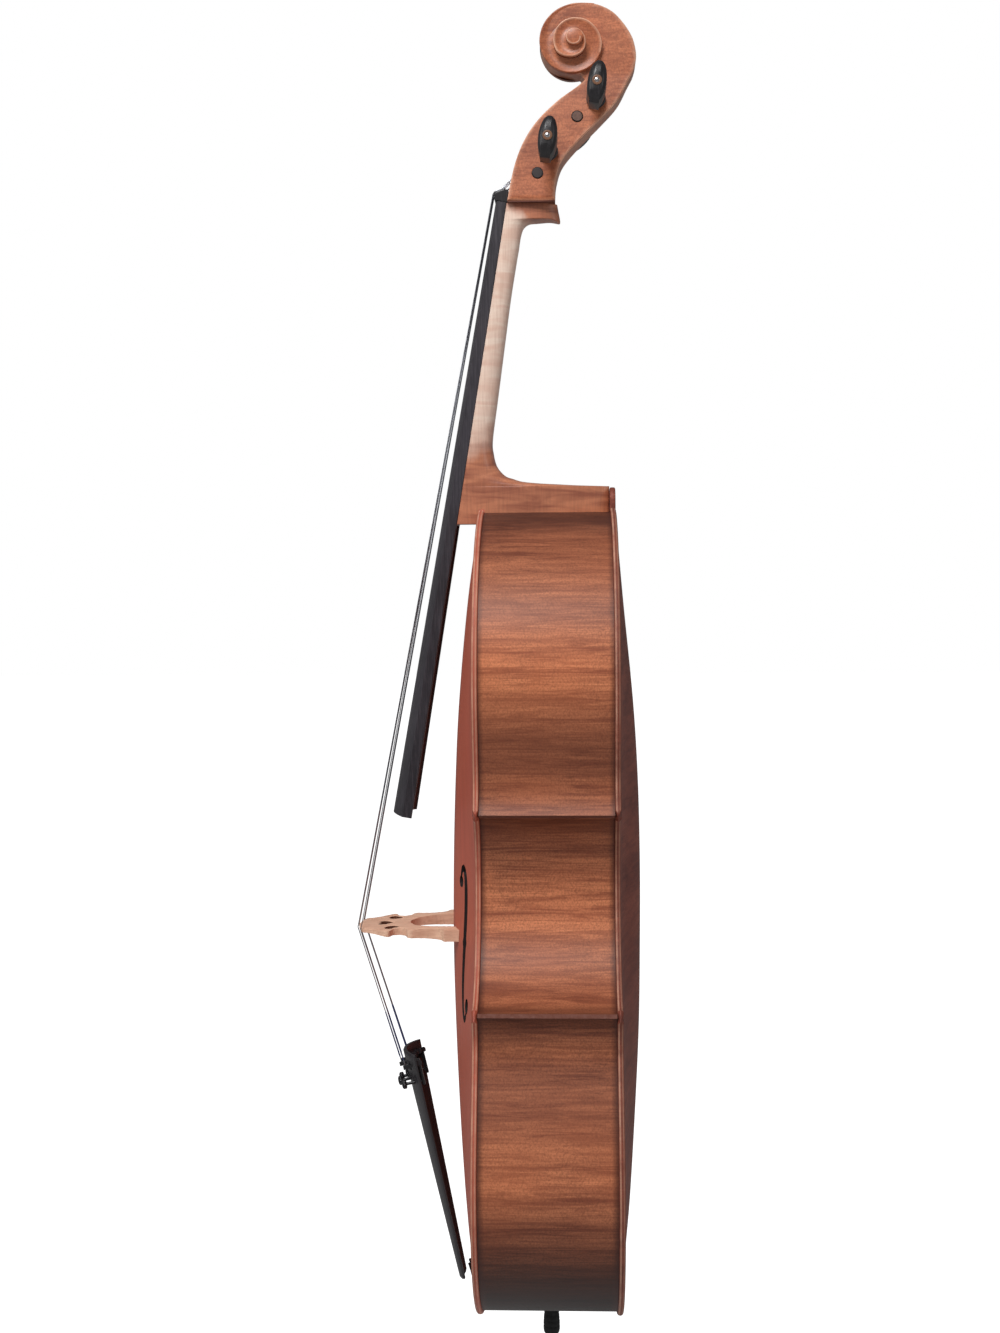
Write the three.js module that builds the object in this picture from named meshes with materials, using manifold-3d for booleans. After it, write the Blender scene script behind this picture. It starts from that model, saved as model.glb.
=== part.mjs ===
// A full-size cello, built as the assembly a maker would glue, fit and string.
// Millimetres. +Z runs up the instrument from the tip of the endpin, -Y is the belly side and
// +X is the treble side. y = 0 is half way through the ribs.

import * as THREE from 'three';
import { mergeVertices } from 'three/addons/utils/BufferGeometryUtils.js';
import Module from 'manifold-3d';

const wasm = await Module();
wasm.setup();

// ---------- Driving sizes ----------
const PIN_DROP = 44;            // endpin tip to the lower edge of the body
const BODY_LENGTH = 755;
const UPPER_BOUT = 343;
const WAIST = 232;
const LOWER_BOUT = 440;
const CASE_TOP = 127.5;         // thickness of the body at its edges, neck end
const CASE_BOTTOM = 132.5;      // the same at the endpin end
const TOP_ARCH = 26.7;
const BACK_ARCH = 21.5;
const EDGE = 5.4;               // plate thickness at the edge
const GRADUATED = 4.5;          // plate thickness away from the edge
const OVERHANG = 3.5;
const RIB = 1.8;
const LINING = 2;
const LINING_TALL = 15;
const PLATFORM = 8;             // flat margin of each plate before the arch begins
const GLUE = 0.2;               // gap left for a glue line
const FIT = 0.3;                // clearance round a piece let into another
const PLAY = 0.25;              // running clearance of turning pieces

const NECK_ABOVE = 281;         // nut end of the neck above the body's upper edge
const BOARD_LENGTH = 571;
const BOARD_NUT = 32;
const BOARD_END = 63;
const BOARD_SIDE = 8.5;
const BOARD_ARCH_END = 11;
const BOARD_ARCH_NUT = 2.2;
const NECK_RAKE = 0.1623;       // forward lean of the fingerboard, mm per mm
const BUTTON = 14;              // half width of the back plate's button
const MORTISE = 15;             // depth of the heel in the upper block

const BRIDGE_STOP = 398;        // bridge below the body's upper edge
const BRIDGE_TALL = 91;
const BRIDGE_FOOT = 12;
const BRIDGE_TOP = 3;
const BRIDGE_SPREAD = 47;       // outer string to outer string
const NUT_SPREAD = 22.4;
const STRING_RADII = [0.85, 0.65, 0.5, 0.4];
const STRING_NAMES = ['c', 'g', 'd', 'a'];

const PEG_LARGE = 6.2;
const PEG_SMALL = 5;
const PEG_REACH = 86;           // far end of a peg head from the centre plane

const TAIL_HIGH = 238;          // upper end of the tailpiece above the body's lower edge
const TAIL_LOW = 12;
const TAIL_WIDE = 58;
const TAIL_NARROW = 22;
const PIN_RADIUS = 4;
const PIN_INSIDE = 430;         // length of pin shaft above the body's lower edge

// ---------- Finishes ----------
const FINISH = {
  spruce: { color: 0xb2604f, roughness: 0.32, metalness: 0 },
  maple: { color: 0xa85a34, roughness: 0.32, metalness: 0 },
  back: { color: 0x6e3c30, roughness: 0.32, metalness: 0 },
  bare: { color: 0xd8b98c, roughness: 0.6, metalness: 0 },
  neck: { color: 0xcda98d, roughness: 0.5, metalness: 0 },
  ebony: { color: 0x1d1a19, roughness: 0.45, metalness: 0 },
  bridge: { color: 0xdeb89b, roughness: 0.55, metalness: 0 },
  steel: { color: 0x9da0a6, roughness: 0.3, metalness: 1 },
  black: { color: 0x17181a, roughness: 0.4, metalness: 0 },
  rubber: { color: 0x141414, roughness: 0.75, metalness: 0 },
};

// ---------- Shape helpers ----------
const lerp = THREE.MathUtils.lerp;
const v2 = (a, b) => new THREE.Vector2(a, b);
const v3 = (x, y, z) => new THREE.Vector3(x, y, z);

function facingOut(geometry) {
  const p = geometry.attributes.position;
  const index = geometry.index.array;
  const a = v3();
  const b = v3();
  const c = v3();
  let volume = 0;
  for (let i = 0; i < index.length; i += 3) {
    a.fromBufferAttribute(p, index[i]);
    b.fromBufferAttribute(p, index[i + 1]);
    c.fromBufferAttribute(p, index[i + 2]);
    volume += a.dot(b.cross(c));
  }
  if (volume < 0) {
    for (let i = 0; i < index.length; i += 3) [index[i], index[i + 1]] = [index[i + 1], index[i]];
  }
  return geometry;
}

function meshOf(points, triangles) {
  const geometry = new THREE.BufferGeometry();
  geometry.setAttribute('position', new THREE.Float32BufferAttribute(points, 3));
  geometry.setIndex(triangles);
  return facingOut(geometry);
}

function toSolid(geometry) {
  const bare = geometry.clone();
  bare.deleteAttribute('normal');
  bare.deleteAttribute('uv');
  const merged = facingOut(mergeVertices(bare, 1e-4));
  return new wasm.Manifold(new wasm.Mesh({
    numProp: 3,
    vertProperties: new Float32Array(merged.attributes.position.array),
    triVerts: new Uint32Array(merged.index.array),
  }));
}

function toGeometry(solid) {
  const mesh = solid.getMesh();
  const geometry = new THREE.BufferGeometry();
  geometry.setAttribute('position', new THREE.BufferAttribute(new Float32Array(mesh.vertProperties), 3));
  geometry.setIndex(new THREE.BufferAttribute(new Uint32Array(mesh.triVerts), 1));
  const faceted = geometry.toNonIndexed();
  faceted.computeVertexNormals();
  return faceted;
}

const join = (...solids) => solids.reduce((whole, next) => whole.add(next));
const cut = (solid, ...tools) => tools.reduce((rest, tool) => rest.subtract(tool), solid);

// Extrusions of a closed outline along one axis. Outlines are [x, z], [y, z] or [x, y] points.
function prism(points, depth, basis) {
  const shape = new THREE.Shape(points.map((p) => v2(p[0], p[1])));
  const geometry = new THREE.ExtrudeGeometry(shape, { depth, bevelEnabled: false });
  return toSolid(geometry.applyMatrix4(basis));
}

function alongX(points, x0, x1) {
  const basis = new THREE.Matrix4().makeBasis(v3(0, 1, 0), v3(0, 0, 1), v3(1, 0, 0));
  return prism(points, x1 - x0, basis.setPosition(x0, 0, 0));
}

function alongY(points, y0, y1) {
  const basis = new THREE.Matrix4().makeBasis(v3(1, 0, 0), v3(0, 0, 1), v3(0, -1, 0));
  return prism(points, y1 - y0, basis.setPosition(0, y1, 0));
}

function alongZ(points, z0, z1) {
  return prism(points, z1 - z0, new THREE.Matrix4().makeTranslation(0, 0, z0));
}

// A turned piece from [radius, height] points, its axis laid along the given direction.
function turned(profile, sides, origin, axis) {
  const lathe = new THREE.LatheGeometry(profile.map((p) => v2(p[0], p[1])), sides);
  const turn = new THREE.Quaternion().setFromUnitVectors(v3(0, 1, 0), axis);
  lathe.applyQuaternion(turn).translate(origin.x, origin.y, origin.z);
  return toSolid(lathe);
}

function rod(radius, from, to, sides = 12, farRadius = radius) {
  const axis = to.clone().sub(from);
  const length = axis.length();
  return turned([[0, 0], [radius, 0], [farRadius, length], [0, length]], sides, from, axis.normalize());
}

// Skins a row of matching closed sections; place() puts a flat section point into space.
function loft(sections, place) {
  const count = sections[0].length;
  const points = [];
  sections.forEach((section, i) => {
    for (const p of section) points.push(...place(p, i).toArray());
  });
  const triangles = [];
  for (let i = 0; i + 1 < sections.length; i += 1) {
    for (let j = 0; j < count; j += 1) {
      const a = i * count + j;
      const b = i * count + ((j + 1) % count);
      triangles.push(a, b, a + count, b, b + count, a + count);
    }
  }
  const cap = (section) => THREE.ShapeUtils.triangulateShape(section.map((p) => v2(p[0], p[1])), []);
  const last = (sections.length - 1) * count;
  for (const [a, b, c] of cap(sections[0])) triangles.push(c, b, a);
  for (const [a, b, c] of cap(sections[sections.length - 1])) triangles.push(last + a, last + b, last + c);
  return toSolid(meshOf(points, triangles));
}

// A path that stops at every given point, so that bends fall where they are wanted.
class Run extends THREE.Curve {
  constructor(points) {
    super();
    this.points = points;
  }

  getPoint(t, target = new THREE.Vector3()) {
    const last = this.points.length - 1;
    const i = Math.min(Math.floor(t * last), last - 1);
    return target.lerpVectors(this.points[i], this.points[i + 1], t * last - i);
  }

  getUtoTmapping(u) {
    return u;
  }

  getSpacedPoints(divisions) {
    return this.getPoints(divisions);
  }
}

// A round cord through a row of points.
function cord(points, radius, sides = 6) {
  const section = new THREE.Shape();
  section.absarc(0, 0, radius, 0, 2 * Math.PI);
  const round = new THREE.Shape(section.getSpacedPoints(sides).slice(0, -1));
  return toSolid(new THREE.ExtrudeGeometry(round, {
    steps: points.length - 1, extrudePath: new Run(points), bevelEnabled: false,
  }));
}

function smooth(points, count) {
  return new THREE.SplineCurve(points.map((p) => v2(p[0], p[1]))).getPoints(count)
    .map((p) => [p.x, p.y]);
}

function read(table, at) {
  let i = 0;
  while (i < table.length - 2 && at > table[i + 1][0]) i += 1;
  const [[a, from], [b, to]] = [table[i], table[i + 1]];
  return lerp(from, to, THREE.MathUtils.clamp((at - a) / (b - a), 0, 1));
}

const mirrored = (points) => points.map(([x, z]) => [-x, z]);

// ---------- Body outline ----------
const BASE = PIN_DROP;
const CROWN = BASE + BODY_LENGTH;
const rise = (mm) => BASE + (mm * BODY_LENGTH) / 755;
const LB = LOWER_BOUT / 2;
const CB = WAIST / 2;
const UB = UPPER_BOUT / 2;

// Each curve runs up the treble side: points are [x, height above the lower edge].
function bouts(rows, counts) {
  const points = [];
  rows.forEach((row, i) => {
    const [a, b, c, d] = row.map(([x, z]) => v2(x, rise(z)));
    const sampled = new THREE.CubicBezierCurve(a, b, c, d).getPoints(counts[i]);
    points.push(...sampled.slice(points.length ? 1 : 0));
  });
  return points.map((p) => [p.x, p.y]);
}

const LOWER = bouts([
  [[0, 0], [LB * 0.545, 0], [LB, 75], [LB, 165]],
  [[LB, 165], [LB, 212], [LB - 32, 262], [LB - 36, 284]],
  [[LB - 36, 284], [LB - 38.2, 296], [LB - 32, 307], [LB - 25.5, 316]],
], [8, 5, 3]);
const MIDDLE = bouts([
  [[LB - 31.5, 324.5], [LB - 52, 318], [CB, 352], [CB, 415]],
  [[CB, 415], [CB, 450], [UB - 35.5, 483], [UB - 18, 480.5]],
], [7, 6]);
const UPPER = bouts([
  [[UB - 11.5, 488.5], [UB - 16, 496], [UB - 20, 505], [UB - 19, 516]],
  [[UB - 19, 516], [UB - 17.6, 531], [UB, 566], [UB, 602]],
  [[UB, 602], [UB, 682], [98, 755], [0, 755]],
], [3, 4, 9]);

function inset(points, distance) {
  return points.map((point, i) => {
    const before = points[Math.max(i - 1, 0)];
    const after = points[Math.min(i + 1, points.length - 1)];
    const [dx, dz] = [after[0] - before[0], after[1] - before[1]];
    const length = Math.hypot(dx, dz);
    return [point[0] - (dz / length) * distance, point[1] + (dx / length) * distance];
  });
}

// The ends on the centre line keep x = 0 whatever the inset.
function side(distance) {
  const half = [...inset(LOWER, distance), ...inset(MIDDLE, distance), ...inset(UPPER, distance)];
  half[0] = [0, BASE + distance];
  half[half.length - 1] = [0, CROWN - distance];
  return half;
}

function outline(distance) {
  const right = side(distance);
  return [...right, ...mirrored(right.slice(1, -1)).reverse()];
}

function inside(polygon, x, z) {
  let within = false;
  polygon.forEach(([x1, z1], i) => {
    const [x2, z2] = polygon[(i + 1) % polygon.length];
    if ((z1 > z) !== (z2 > z) && x < x1 + ((x2 - x1) * (z - z1)) / (z2 - z1)) within = !within;
  });
  return within;
}

// ---------- Arching ----------
// The arch follows a film stretched over the outline: its share of the height on the centre
// line gives the cross profile, and the long profile sets the height at each station.
const CELL = 5;
const COLUMNS = Math.ceil(LB / CELL) + 1;
const ROWS = Math.ceil(BODY_LENGTH / CELL) + 1;

function film() {
  const rim = outline(PLATFORM);
  const height = new Float64Array(COLUMNS * ROWS);
  const open = height.map((_, k) => (inside(rim, (k % COLUMNS) * CELL + 0.01,
    BASE + Math.floor(k / COLUMNS) * CELL) ? 1 : 0));
  for (let sweep = 0; sweep < 700; sweep += 1) {
    for (let r = 1; r < ROWS - 1; r += 1) {
      for (let c = 0; c < COLUMNS - 1; c += 1) {
        const k = r * COLUMNS + c;
        if (open[k]) {
          const left = c ? height[k - 1] : height[k + 1];
          const mean = (left + height[k + 1] + height[k - COLUMNS] + height[k + COLUMNS] + 1) / 4;
          height[k] += 1.85 * (mean - height[k]);
        }
      }
    }
  }
  return height;
}

const FILM = film();

function filmAt(x, z) {
  const c = Math.min(Math.abs(x) / CELL, COLUMNS - 1.001);
  const r = THREE.MathUtils.clamp((z - BASE) / CELL, 0, ROWS - 1.001);
  const [i, j] = [Math.floor(c), Math.floor(r)];
  const k = j * COLUMNS + i;
  const low = lerp(FILM[k], FILM[k + 1], c - i);
  const high = lerp(FILM[k + COLUMNS], FILM[k + COLUMNS + 1], c - i);
  return lerp(low, high, r - j);
}

// Long arches as [share of the body length, share of the full height].
const TOP_LONG = smooth([[0.012, 0], [0.064, 0.38], [0.142, 0.59], [0.246, 0.78], [0.351, 0.92],
  [0.45, 1], [0.556, 0.99], [0.658, 0.91], [0.759, 0.76], [0.886, 0.42], [0.988, 0]], 60);
const BACK_LONG = smooth([[0.012, 0], [0.091, 0.27], [0.143, 0.47], [0.248, 0.72], [0.351, 0.91],
  [0.454, 0.98], [0.556, 1], [0.658, 0.93], [0.759, 0.73], [0.885, 0.31], [0.988, 0]], 60);

function archAt(long, full, x, z) {
  const middle = filmAt(0, z);
  if (middle <= 0) return 0;
  const share = Math.min(filmAt(x, z) / middle, 1);
  const across = (1 + Math.cos(Math.PI * Math.sqrt(1 - share))) / 2;
  return full * read(long, (z - BASE) / BODY_LENGTH) * across;
}

const caseHalf = (z) => lerp(CASE_BOTTOM, CASE_TOP, (z - BASE) / BODY_LENGTH) / 2;
const ribHalf = (z) => caseHalf(z) - EDGE;
const topArch = (x, z) => archAt(TOP_LONG, TOP_ARCH, x, z);
const backArch = (x, z) => archAt(BACK_LONG, BACK_ARCH, x, z);
const hollow = (arch) => Math.max(0, Math.min(1.6 * arch - 3, arch + EDGE - GRADUATED));

const topOuter = (x, z) => -caseHalf(z) - topArch(x, z);
const topInner = (x, z) => -ribHalf(z) - hollow(topArch(x, z));
const backOuter = (x, z) => caseHalf(z) + backArch(x, z);
const backInner = (x, z) => ribHalf(z) + hollow(backArch(x, z));

// A block over the whole outline between two surfaces y(x, z).
function sheet(front, back, columns = 16, rows = 26) {
  const [x0, x1, z0, z1] = [-LB - 6, LB + 6, BASE - 24, CROWN + 24];
  const points = [];
  for (const surface of [front, back]) {
    for (let r = 0; r <= rows; r += 1) {
      for (let c = 0; c <= columns; c += 1) {
        const x = lerp(x0, x1, c / columns);
        const z = lerp(z0, z1, r / rows);
        points.push(x, surface(x, z), z);
      }
    }
  }
  const wide = columns + 1;
  const layer = wide * (rows + 1);
  const triangles = [];
  const quad = (a, b, c, d) => triangles.push(a, b, c, a, c, d);
  for (let r = 0; r < rows; r += 1) {
    for (let c = 0; c < columns; c += 1) {
      const k = r * wide + c;
      quad(k, k + 1, k + 1 + wide, k + wide);
      quad(k + layer, k + wide + layer, k + 1 + wide + layer, k + 1 + layer);
    }
    const left = r * wide;
    const right = left + columns;
    quad(left, left + wide, left + wide + layer, left + layer);
    quad(right, right + layer, right + wide + layer, right + wide);
  }
  for (let c = 0; c < columns; c += 1) {
    const high = rows * wide + c;
    quad(c, c + layer, c + 1 + layer, c + 1);
    quad(high, high + 1, high + 1 + layer, high + layer);
  }
  return toSolid(meshOf(points, triangles));
}

// Moulds that trim inner pieces to the plates, a glue line short of the wood.
const overTop = sheet((x, z) => topInner(x, z) - 90, (x, z) => topInner(x, z) + GLUE);
const underBack = sheet((x, z) => backInner(x, z) - GLUE, (x, z) => backInner(x, z) + 90);
const wedge = (near, far) => alongX([
  [near(BASE - 40), BASE - 40], [far(BASE - 40), BASE - 40],
  [far(CROWN + 40), CROWN + 40], [near(CROWN + 40), CROWN + 40],
], -LB - 20, LB + 20);
const betweenPlates = wedge((z) => GLUE - ribHalf(z), (z) => ribHalf(z) - GLUE);
const frontStrip = wedge((z) => GLUE - ribHalf(z), (z) => LINING_TALL - ribHalf(z));
const backStrip = wedge((z) => ribHalf(z) - LINING_TALL, (z) => ribHalf(z) - GLUE);

// ---------- Neck, head and heel ----------
const boardUnder = (z) => NECK_RAKE * (z - CROWN - NECK_ABOVE + 3.5) - 36.7;
const NUT_Z = CROWN + NECK_ABOVE;
const BOARD_LOW = NUT_Z - BOARD_LENGTH;
const boardShare = (z) => (NUT_Z - z) / BOARD_LENGTH;
const boardHalf = (z) => lerp(BOARD_NUT, BOARD_END, boardShare(z)) / 2;
const heelBack = ribHalf(CROWN) - GLUE;
const HEEL_LOW = CROWN - MORTISE;

// Back of the neck as [height above the crown, y].
const NECK_BACK = [[19.8, heelBack], [20.8, 30], [21.8, 12], [22.9, -7], [24.6, -23], [27.4, -32.4],
  [29.3, -38], [33.1, -42.7], [39.7, -47.4], [50, -50.1], [64, -51], [101, -46], [194, -33.2],
  [229, -27.4], [240, -25.4], [251, -23.7], [258.4, -21.5], [263.4, -16.8], [265.4, -10], [266, 2],
  [266.6, 12.6], [270, 13], [275, 11.7], [280, 10.7]];

function neckSection(z, back) {
  const front = boardUnder(z) + GLUE;
  const half = boardHalf(Math.min(z, NUT_Z));
  const deep = back - front;
  const slim = THREE.MathUtils.clamp((deep - 40) / 90, 0, 1);
  const points = [];
  for (let i = 0; i <= 12; i += 1) {
    const turn = (Math.PI * i) / 12;
    const reach = Math.sin(turn) ** 0.85;
    const width = lerp(half - 0.5, BUTTON, slim * reach);
    points.push([Math.sign(Math.cos(turn)) * Math.abs(Math.cos(turn)) ** 0.72 * width, front + deep * reach]);
  }
  return points;
}

// The chin's point hangs a little below its root.
function droop(y, up) {
  const out = THREE.MathUtils.clamp(y / 13, 0, 1);
  const rise = THREE.MathUtils.clamp((up - 255) / 8, 0, 1) * THREE.MathUtils.clamp((280 - up) / 14, 0, 1);
  return 3.6 * out * out * rise;
}

function neck() {
  const stations = [[-MORTISE, heelBack], ...NECK_BACK];
  const sections = stations.map(([up, back]) => neckSection(CROWN + up, back));
  return loft(sections, (p, i) => v3(p[0], p[1], CROWN + stations[i][0] - droop(p[1], stations[i][0])));
}

const GRAFT_Z = NUT_Z - 0.5;
const headOuter = (z) => read([[GRAFT_Z, 21], [NUT_Z + 75, 16.5], [NUT_Z + 115, 14]], z);

// Side outline of the pegbox and the first turn, [y, height above the nut].
const HEAD_FRONT = [[-35.4, 0.8], [-31.8, 19.6], [-27.1, 37.6], [-19.6, 55.6], [-7.6, 73.4],
  [10.8, 91.1], [29, 104], [38, 113]];
const HEAD_TURN = [[24.2, 117.3], [9, 121.2], [0.1, 128.8], [-3.8, 137.8], [-4.1, 146.8],
  [2.1, 164.6], [14.9, 175], [32.3, 180], [53.2, 176.7], [72, 160.9], [81.5, 145.9],
  [84, 130.9], [81.3, 118.7], [75.8, 108], [66, 90.2], [49.2, 72.5], [30.9, 54.8], [15.6, 37],
  [9.6, 20.8], [8.4, 8], [8.6, 0.2]];
const CAVITY = [[-50, 12], [-1.5, 12], [3.5, 26], [10, 41], [23, 59], [43, 75.5], [59, 92.5], [50, 102.5],
  [24, 106], [-50, 70]];
const EYE = [27.7, 144.8];
// Volute steps as [degrees of turn, radius, half width].
const VOLUTE = [[90, 35, 13.5], [180, 31.5, 15.5], [270, 27.3, 18], [360, 22.5, 20.5],
  [450, 16.6, 22.5], [540, 17, 24], [630, 16.5, 25.5], [720, 11.6, 27.5], [810, 8.4, 29.3],
  [900, 7.6, 31], [990, 7.6, 31]];

function head() {
  const lift = ([y, up]) => [y, NUT_Z + up];
  const profile = [...smooth(HEAD_FRONT, 12), ...smooth(HEAD_TURN, 44)].map(lift);
  let body = alongX(profile, -24, 24);
  const plan = [];
  for (const z of [GRAFT_Z - 8, NUT_Z + 75, NUT_Z + 115, NUT_Z + 190]) plan.push([headOuter(z), z]);
  body = body.intersect(alongY([...plan, ...mirrored(plan).reverse()], -60, 100));
  const centre = lift(EYE);
  for (let turn = 90; turn < 990; turn += 20) {
    const middle = turn + 10;
    const radius = read(VOLUTE.map((row) => [row[0], row[1]]), middle);
    const half = read(VOLUTE.map((row) => [row[0], row[2]]), middle);
    const wing = [centre];
    for (const degrees of [turn - 0.2, middle, turn + 20.2]) {
      const t = THREE.MathUtils.degToRad(degrees);
      wing.push([centre[0] + radius * Math.cos(t), centre[1] + radius * Math.sin(t)]);
    }
    body = body.add(alongX(wing, -half, half));
  }
  const cheek = 6.5;
  const slot = plan.map(([x, z]) => [x - cheek, z]);
  const well = alongX(CAVITY.map(lift), -24, 24)
    .intersect(alongY([...slot, ...mirrored(slot).reverse()], -60, 100));
  return cut(body, well);
}

// ---------- Pegs ----------
// Each peg: [string, y, height above the nut, side its head is on, lean of the head in degrees].
const PEGS = [
  ['c', -7.4, 25.6, -1, 8],
  ['g', 29.3, 76.8, -1, 50],
  ['d', 46.6, 91.7, 1, 9],
  ['a', 2.7, 44.6, 1, 8],
];
const pegAxis = (row) => v3(0, row[1], NUT_Z + row[2]);
const PEG_EYE = 1.2;             // how far the eye stands out of the head

// Half of a peg head seen end-on, as [half thickness, height].
const LEAF = smooth([[4, -20.5], [7.4, -12], [8.6, 0], [7, 12], [2.6, 20.5]], 9);

function peg(row) {
  const [, , , hand, lean] = row;
  const at = pegAxis(row);
  const far = headOuter(at.z) + 1.5;
  const collar = headOuter(at.z) + 2.5;
  const stem = turned([[0, -far], [PEG_SMALL, -far], [PEG_LARGE, collar], [8.6, collar],
    [9, collar + 2], [8.2, collar + 4], [6.2, collar + 6], [5.4, collar + 11], [6.6, collar + 16],
    [0, collar + 17]], 14, at, v3(hand, 0, 0));
  const blade = smooth([[collar + 13, 5], [collar + 30, 13.5], [PEG_REACH - 16, 19.4],
    [PEG_REACH - 9, 20.4], [PEG_REACH - 3.5, 16.5], [PEG_REACH, 7]], 11);
  const whole = [...blade, ...blade.map(([x, z]) => [x, -z]).reverse()];
  const leaf = alongY(whole.map(([x, z]) => [x * hand, z]), -10, 10)
    .intersect(alongX([...LEAF, ...mirrored(LEAF).reverse()], -PEG_REACH, PEG_REACH))
    .rotate([-lean, 0, 0])
    .translate([0, at.y, at.z]);
  const eye = rod(4, at.clone().setX(hand * (PEG_REACH - 4)), at.clone().setX(hand * (PEG_REACH + PEG_EYE)));
  return join(stem, leaf, eye);
}

// The bore keeps the peg's taper, carried on past both cheeks.
function pegBore(row) {
  const at = pegAxis(row);
  const hand = row[3];
  const [far, collar, reach] = [headOuter(at.z) + 1.5, headOuter(at.z) + 2.5, 30];
  const taper = (PEG_LARGE - PEG_SMALL) / (far + collar);
  const radius = (along) => PEG_SMALL + taper * (along + far) + PLAY + 0.1;
  const [from, to] = [at.clone().setX(-hand * reach), at.clone().setX(hand * reach)];
  return rod(radius(-reach), from, to, 16, radius(reach));
}

// ---------- Bridge, strings and tailpiece ----------
const BRIDGE_Z = CROWN - BRIDGE_STOP;
const CREST = topOuter(0, BRIDGE_Z);
const BRIDGE_CROWN = CREST - BRIDGE_TALL;

const bridgeLine = (x) => BRIDGE_CROWN + (x * x) / 130 + x * 0.035;

function bridge() {
  const up = (mm) => CREST - mm;
  const flank = smooth([[47.5, 2], [47.5, 6], [41.5, 9], [38, 15], [37, 25], [37.5, 33], [38, 37.5],
    [36.8, 41], [33, 43.5], [32, 49], [33.5, 54.5], [37.5, 57.3], [38.6, 60], [36, 65], [31, 72],
    [27.5, 79], [26.2, 84.2]], 30);
  const top = [23.5, 8, 0, -8, -23.5].map((x) => [x, CREST - bridgeLine(x)]);
  const arch = smooth([[-30, -7], [-29.5, 4], [-28, 13], [-24, 24], [-16, 35.5], [0, 41.5], [16, 35.5],
    [24, 24], [28, 13], [29.5, 4], [30, -7]], 22);
  const sole = [[47.5, -7], ...flank, ...top, ...mirrored(flank).reverse(), [-47.5, -7], ...arch];
  const kidney = smooth([[16, 56], [21, 51], [26.5, 56], [29, 61], [23, 64.5], [17, 61]], 12);
  const heart = smooth([[0, 58], [7.5, 66], [5, 72.5], [0, 69.5], [-5, 72.5], [-7.5, 66]], 14);
  const raised = (points) => points.map(([x, mm]) => [x, up(mm)]);
  const blank = alongZ(raised(sole), BRIDGE_Z - BRIDGE_FOOT, BRIDGE_Z + BRIDGE_FOOT);
  const holes = [kidney, mirrored(kidney), heart]
    .map((hole) => alongZ(raised(hole), BRIDGE_Z - 30, BRIDGE_Z + 30));
  const taper = alongX([
    [up(-10), BRIDGE_Z - BRIDGE_FOOT / 2], [up(8), BRIDGE_Z - BRIDGE_FOOT / 2],
    [up(BRIDGE_TALL + 1), BRIDGE_Z - BRIDGE_TOP / 2],
    [up(BRIDGE_TALL + 1), BRIDGE_Z + BRIDGE_TOP / 2],
    [up(8), BRIDGE_Z + BRIDGE_FOOT / 2], [up(-10), BRIDGE_Z + BRIDGE_FOOT / 2],
  ], -60, 60);
  const plate = sheet((x, z) => topOuter(x, z) - GLUE, (x, z) => topOuter(x, z) + 90);
  return cut(blank.intersect(taper), ...holes, plate);
}

const STRING_X = [-1, -0.34, 0.34, 1].map((share) => share * 0.5);
const bridgeX = (i) => STRING_X[i] * BRIDGE_SPREAD;
const nutX = (i) => STRING_X[i] * NUT_SPREAD;
const TAIL_X = [-19, -6.4, 6.4, 19];
const NUT_TOP = boardUnder(NUT_Z) - BOARD_SIDE - BOARD_ARCH_NUT - 1.4;

const tailShare = (z) => (z - BASE - TAIL_LOW) / (TAIL_HIGH - TAIL_LOW);
const tailCrest = (z) => lerp(-89, -142, tailShare(z));
const tailEdge = (z) => lerp(-84.5, -130, tailShare(z));
const tailHalf = (z) => lerp(TAIL_NARROW, TAIL_WIDE, tailShare(z)) / 2;
const tailSurface = (x, z) => lerp(tailCrest(z), tailEdge(z), (x / tailHalf(z)) ** 2);
const TAIL_LEAN = Math.atan2(142 - 89, TAIL_HIGH - TAIL_LOW);
const TUNER_Z = BASE + TAIL_HIGH - 13;

function tailpiece() {
  const shell = 4;
  const stations = [TAIL_LOW, 40, 90, 150, 200, TAIL_HIGH].map((up) => BASE + up);
  const section = (z) => {
    const half = tailHalf(z);
    const steps = [-1, -0.86, -0.6, -0.3, 0, 0.3, 0.6, 0.86, 1];
    const outer = steps.map((s) => [s * half, tailSurface(s * half, z)]);
    const inner = steps.map((s) => [s * (half - 2.6), tailSurface(s * (half - 2.6), z) + shell]);
    return [...outer, ...inner.reverse()];
  };
  const body = loft(stations.map(section), (p, i) => v3(p[0], p[1], stations[i]));
  const slots = TAIL_X.map((x) => alongX([
    [-160, TUNER_Z - 3.5], [-90, TUNER_Z - 3.5], [-90, TUNER_Z + 5.5], [-160, TUNER_Z + 5.5],
  ], x - 2, x + 2));
  const bores = TAIL_X.map((x) => rod(1.6 + PLAY, tunerPoint(x, 20, 16), tunerPoint(x, -20, 16), 10));
  const gutHole = [-5, 5].map((x) => rod(1.2 + PLAY, v3(x, -70, BASE + 26), v3(x, -110, BASE + 20), 8));
  const lugged = join(cut(body, ...slots), ...TAIL_X.flatMap(lugs));
  return cut(lugged, ...bores, ...gutHole, ...TAIL_X.map((x) => axle(x, 1 + PLAY / 2, 5)));
}

// A point of a fine tuner: above the tailpiece surface and down its length from the pivot.
function tunerPoint(x, above, down) {
  const [s, c] = [Math.sin(TAIL_LEAN), Math.cos(TAIL_LEAN)];
  const y = tailSurface(x, TUNER_Z);
  return v3(x, y - above * c + down * s, TUNER_Z - above * s - down * c);
}

const PIVOT = [-7.9, -2.6];      // lever axle, above the surface and down the tailpiece

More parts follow.
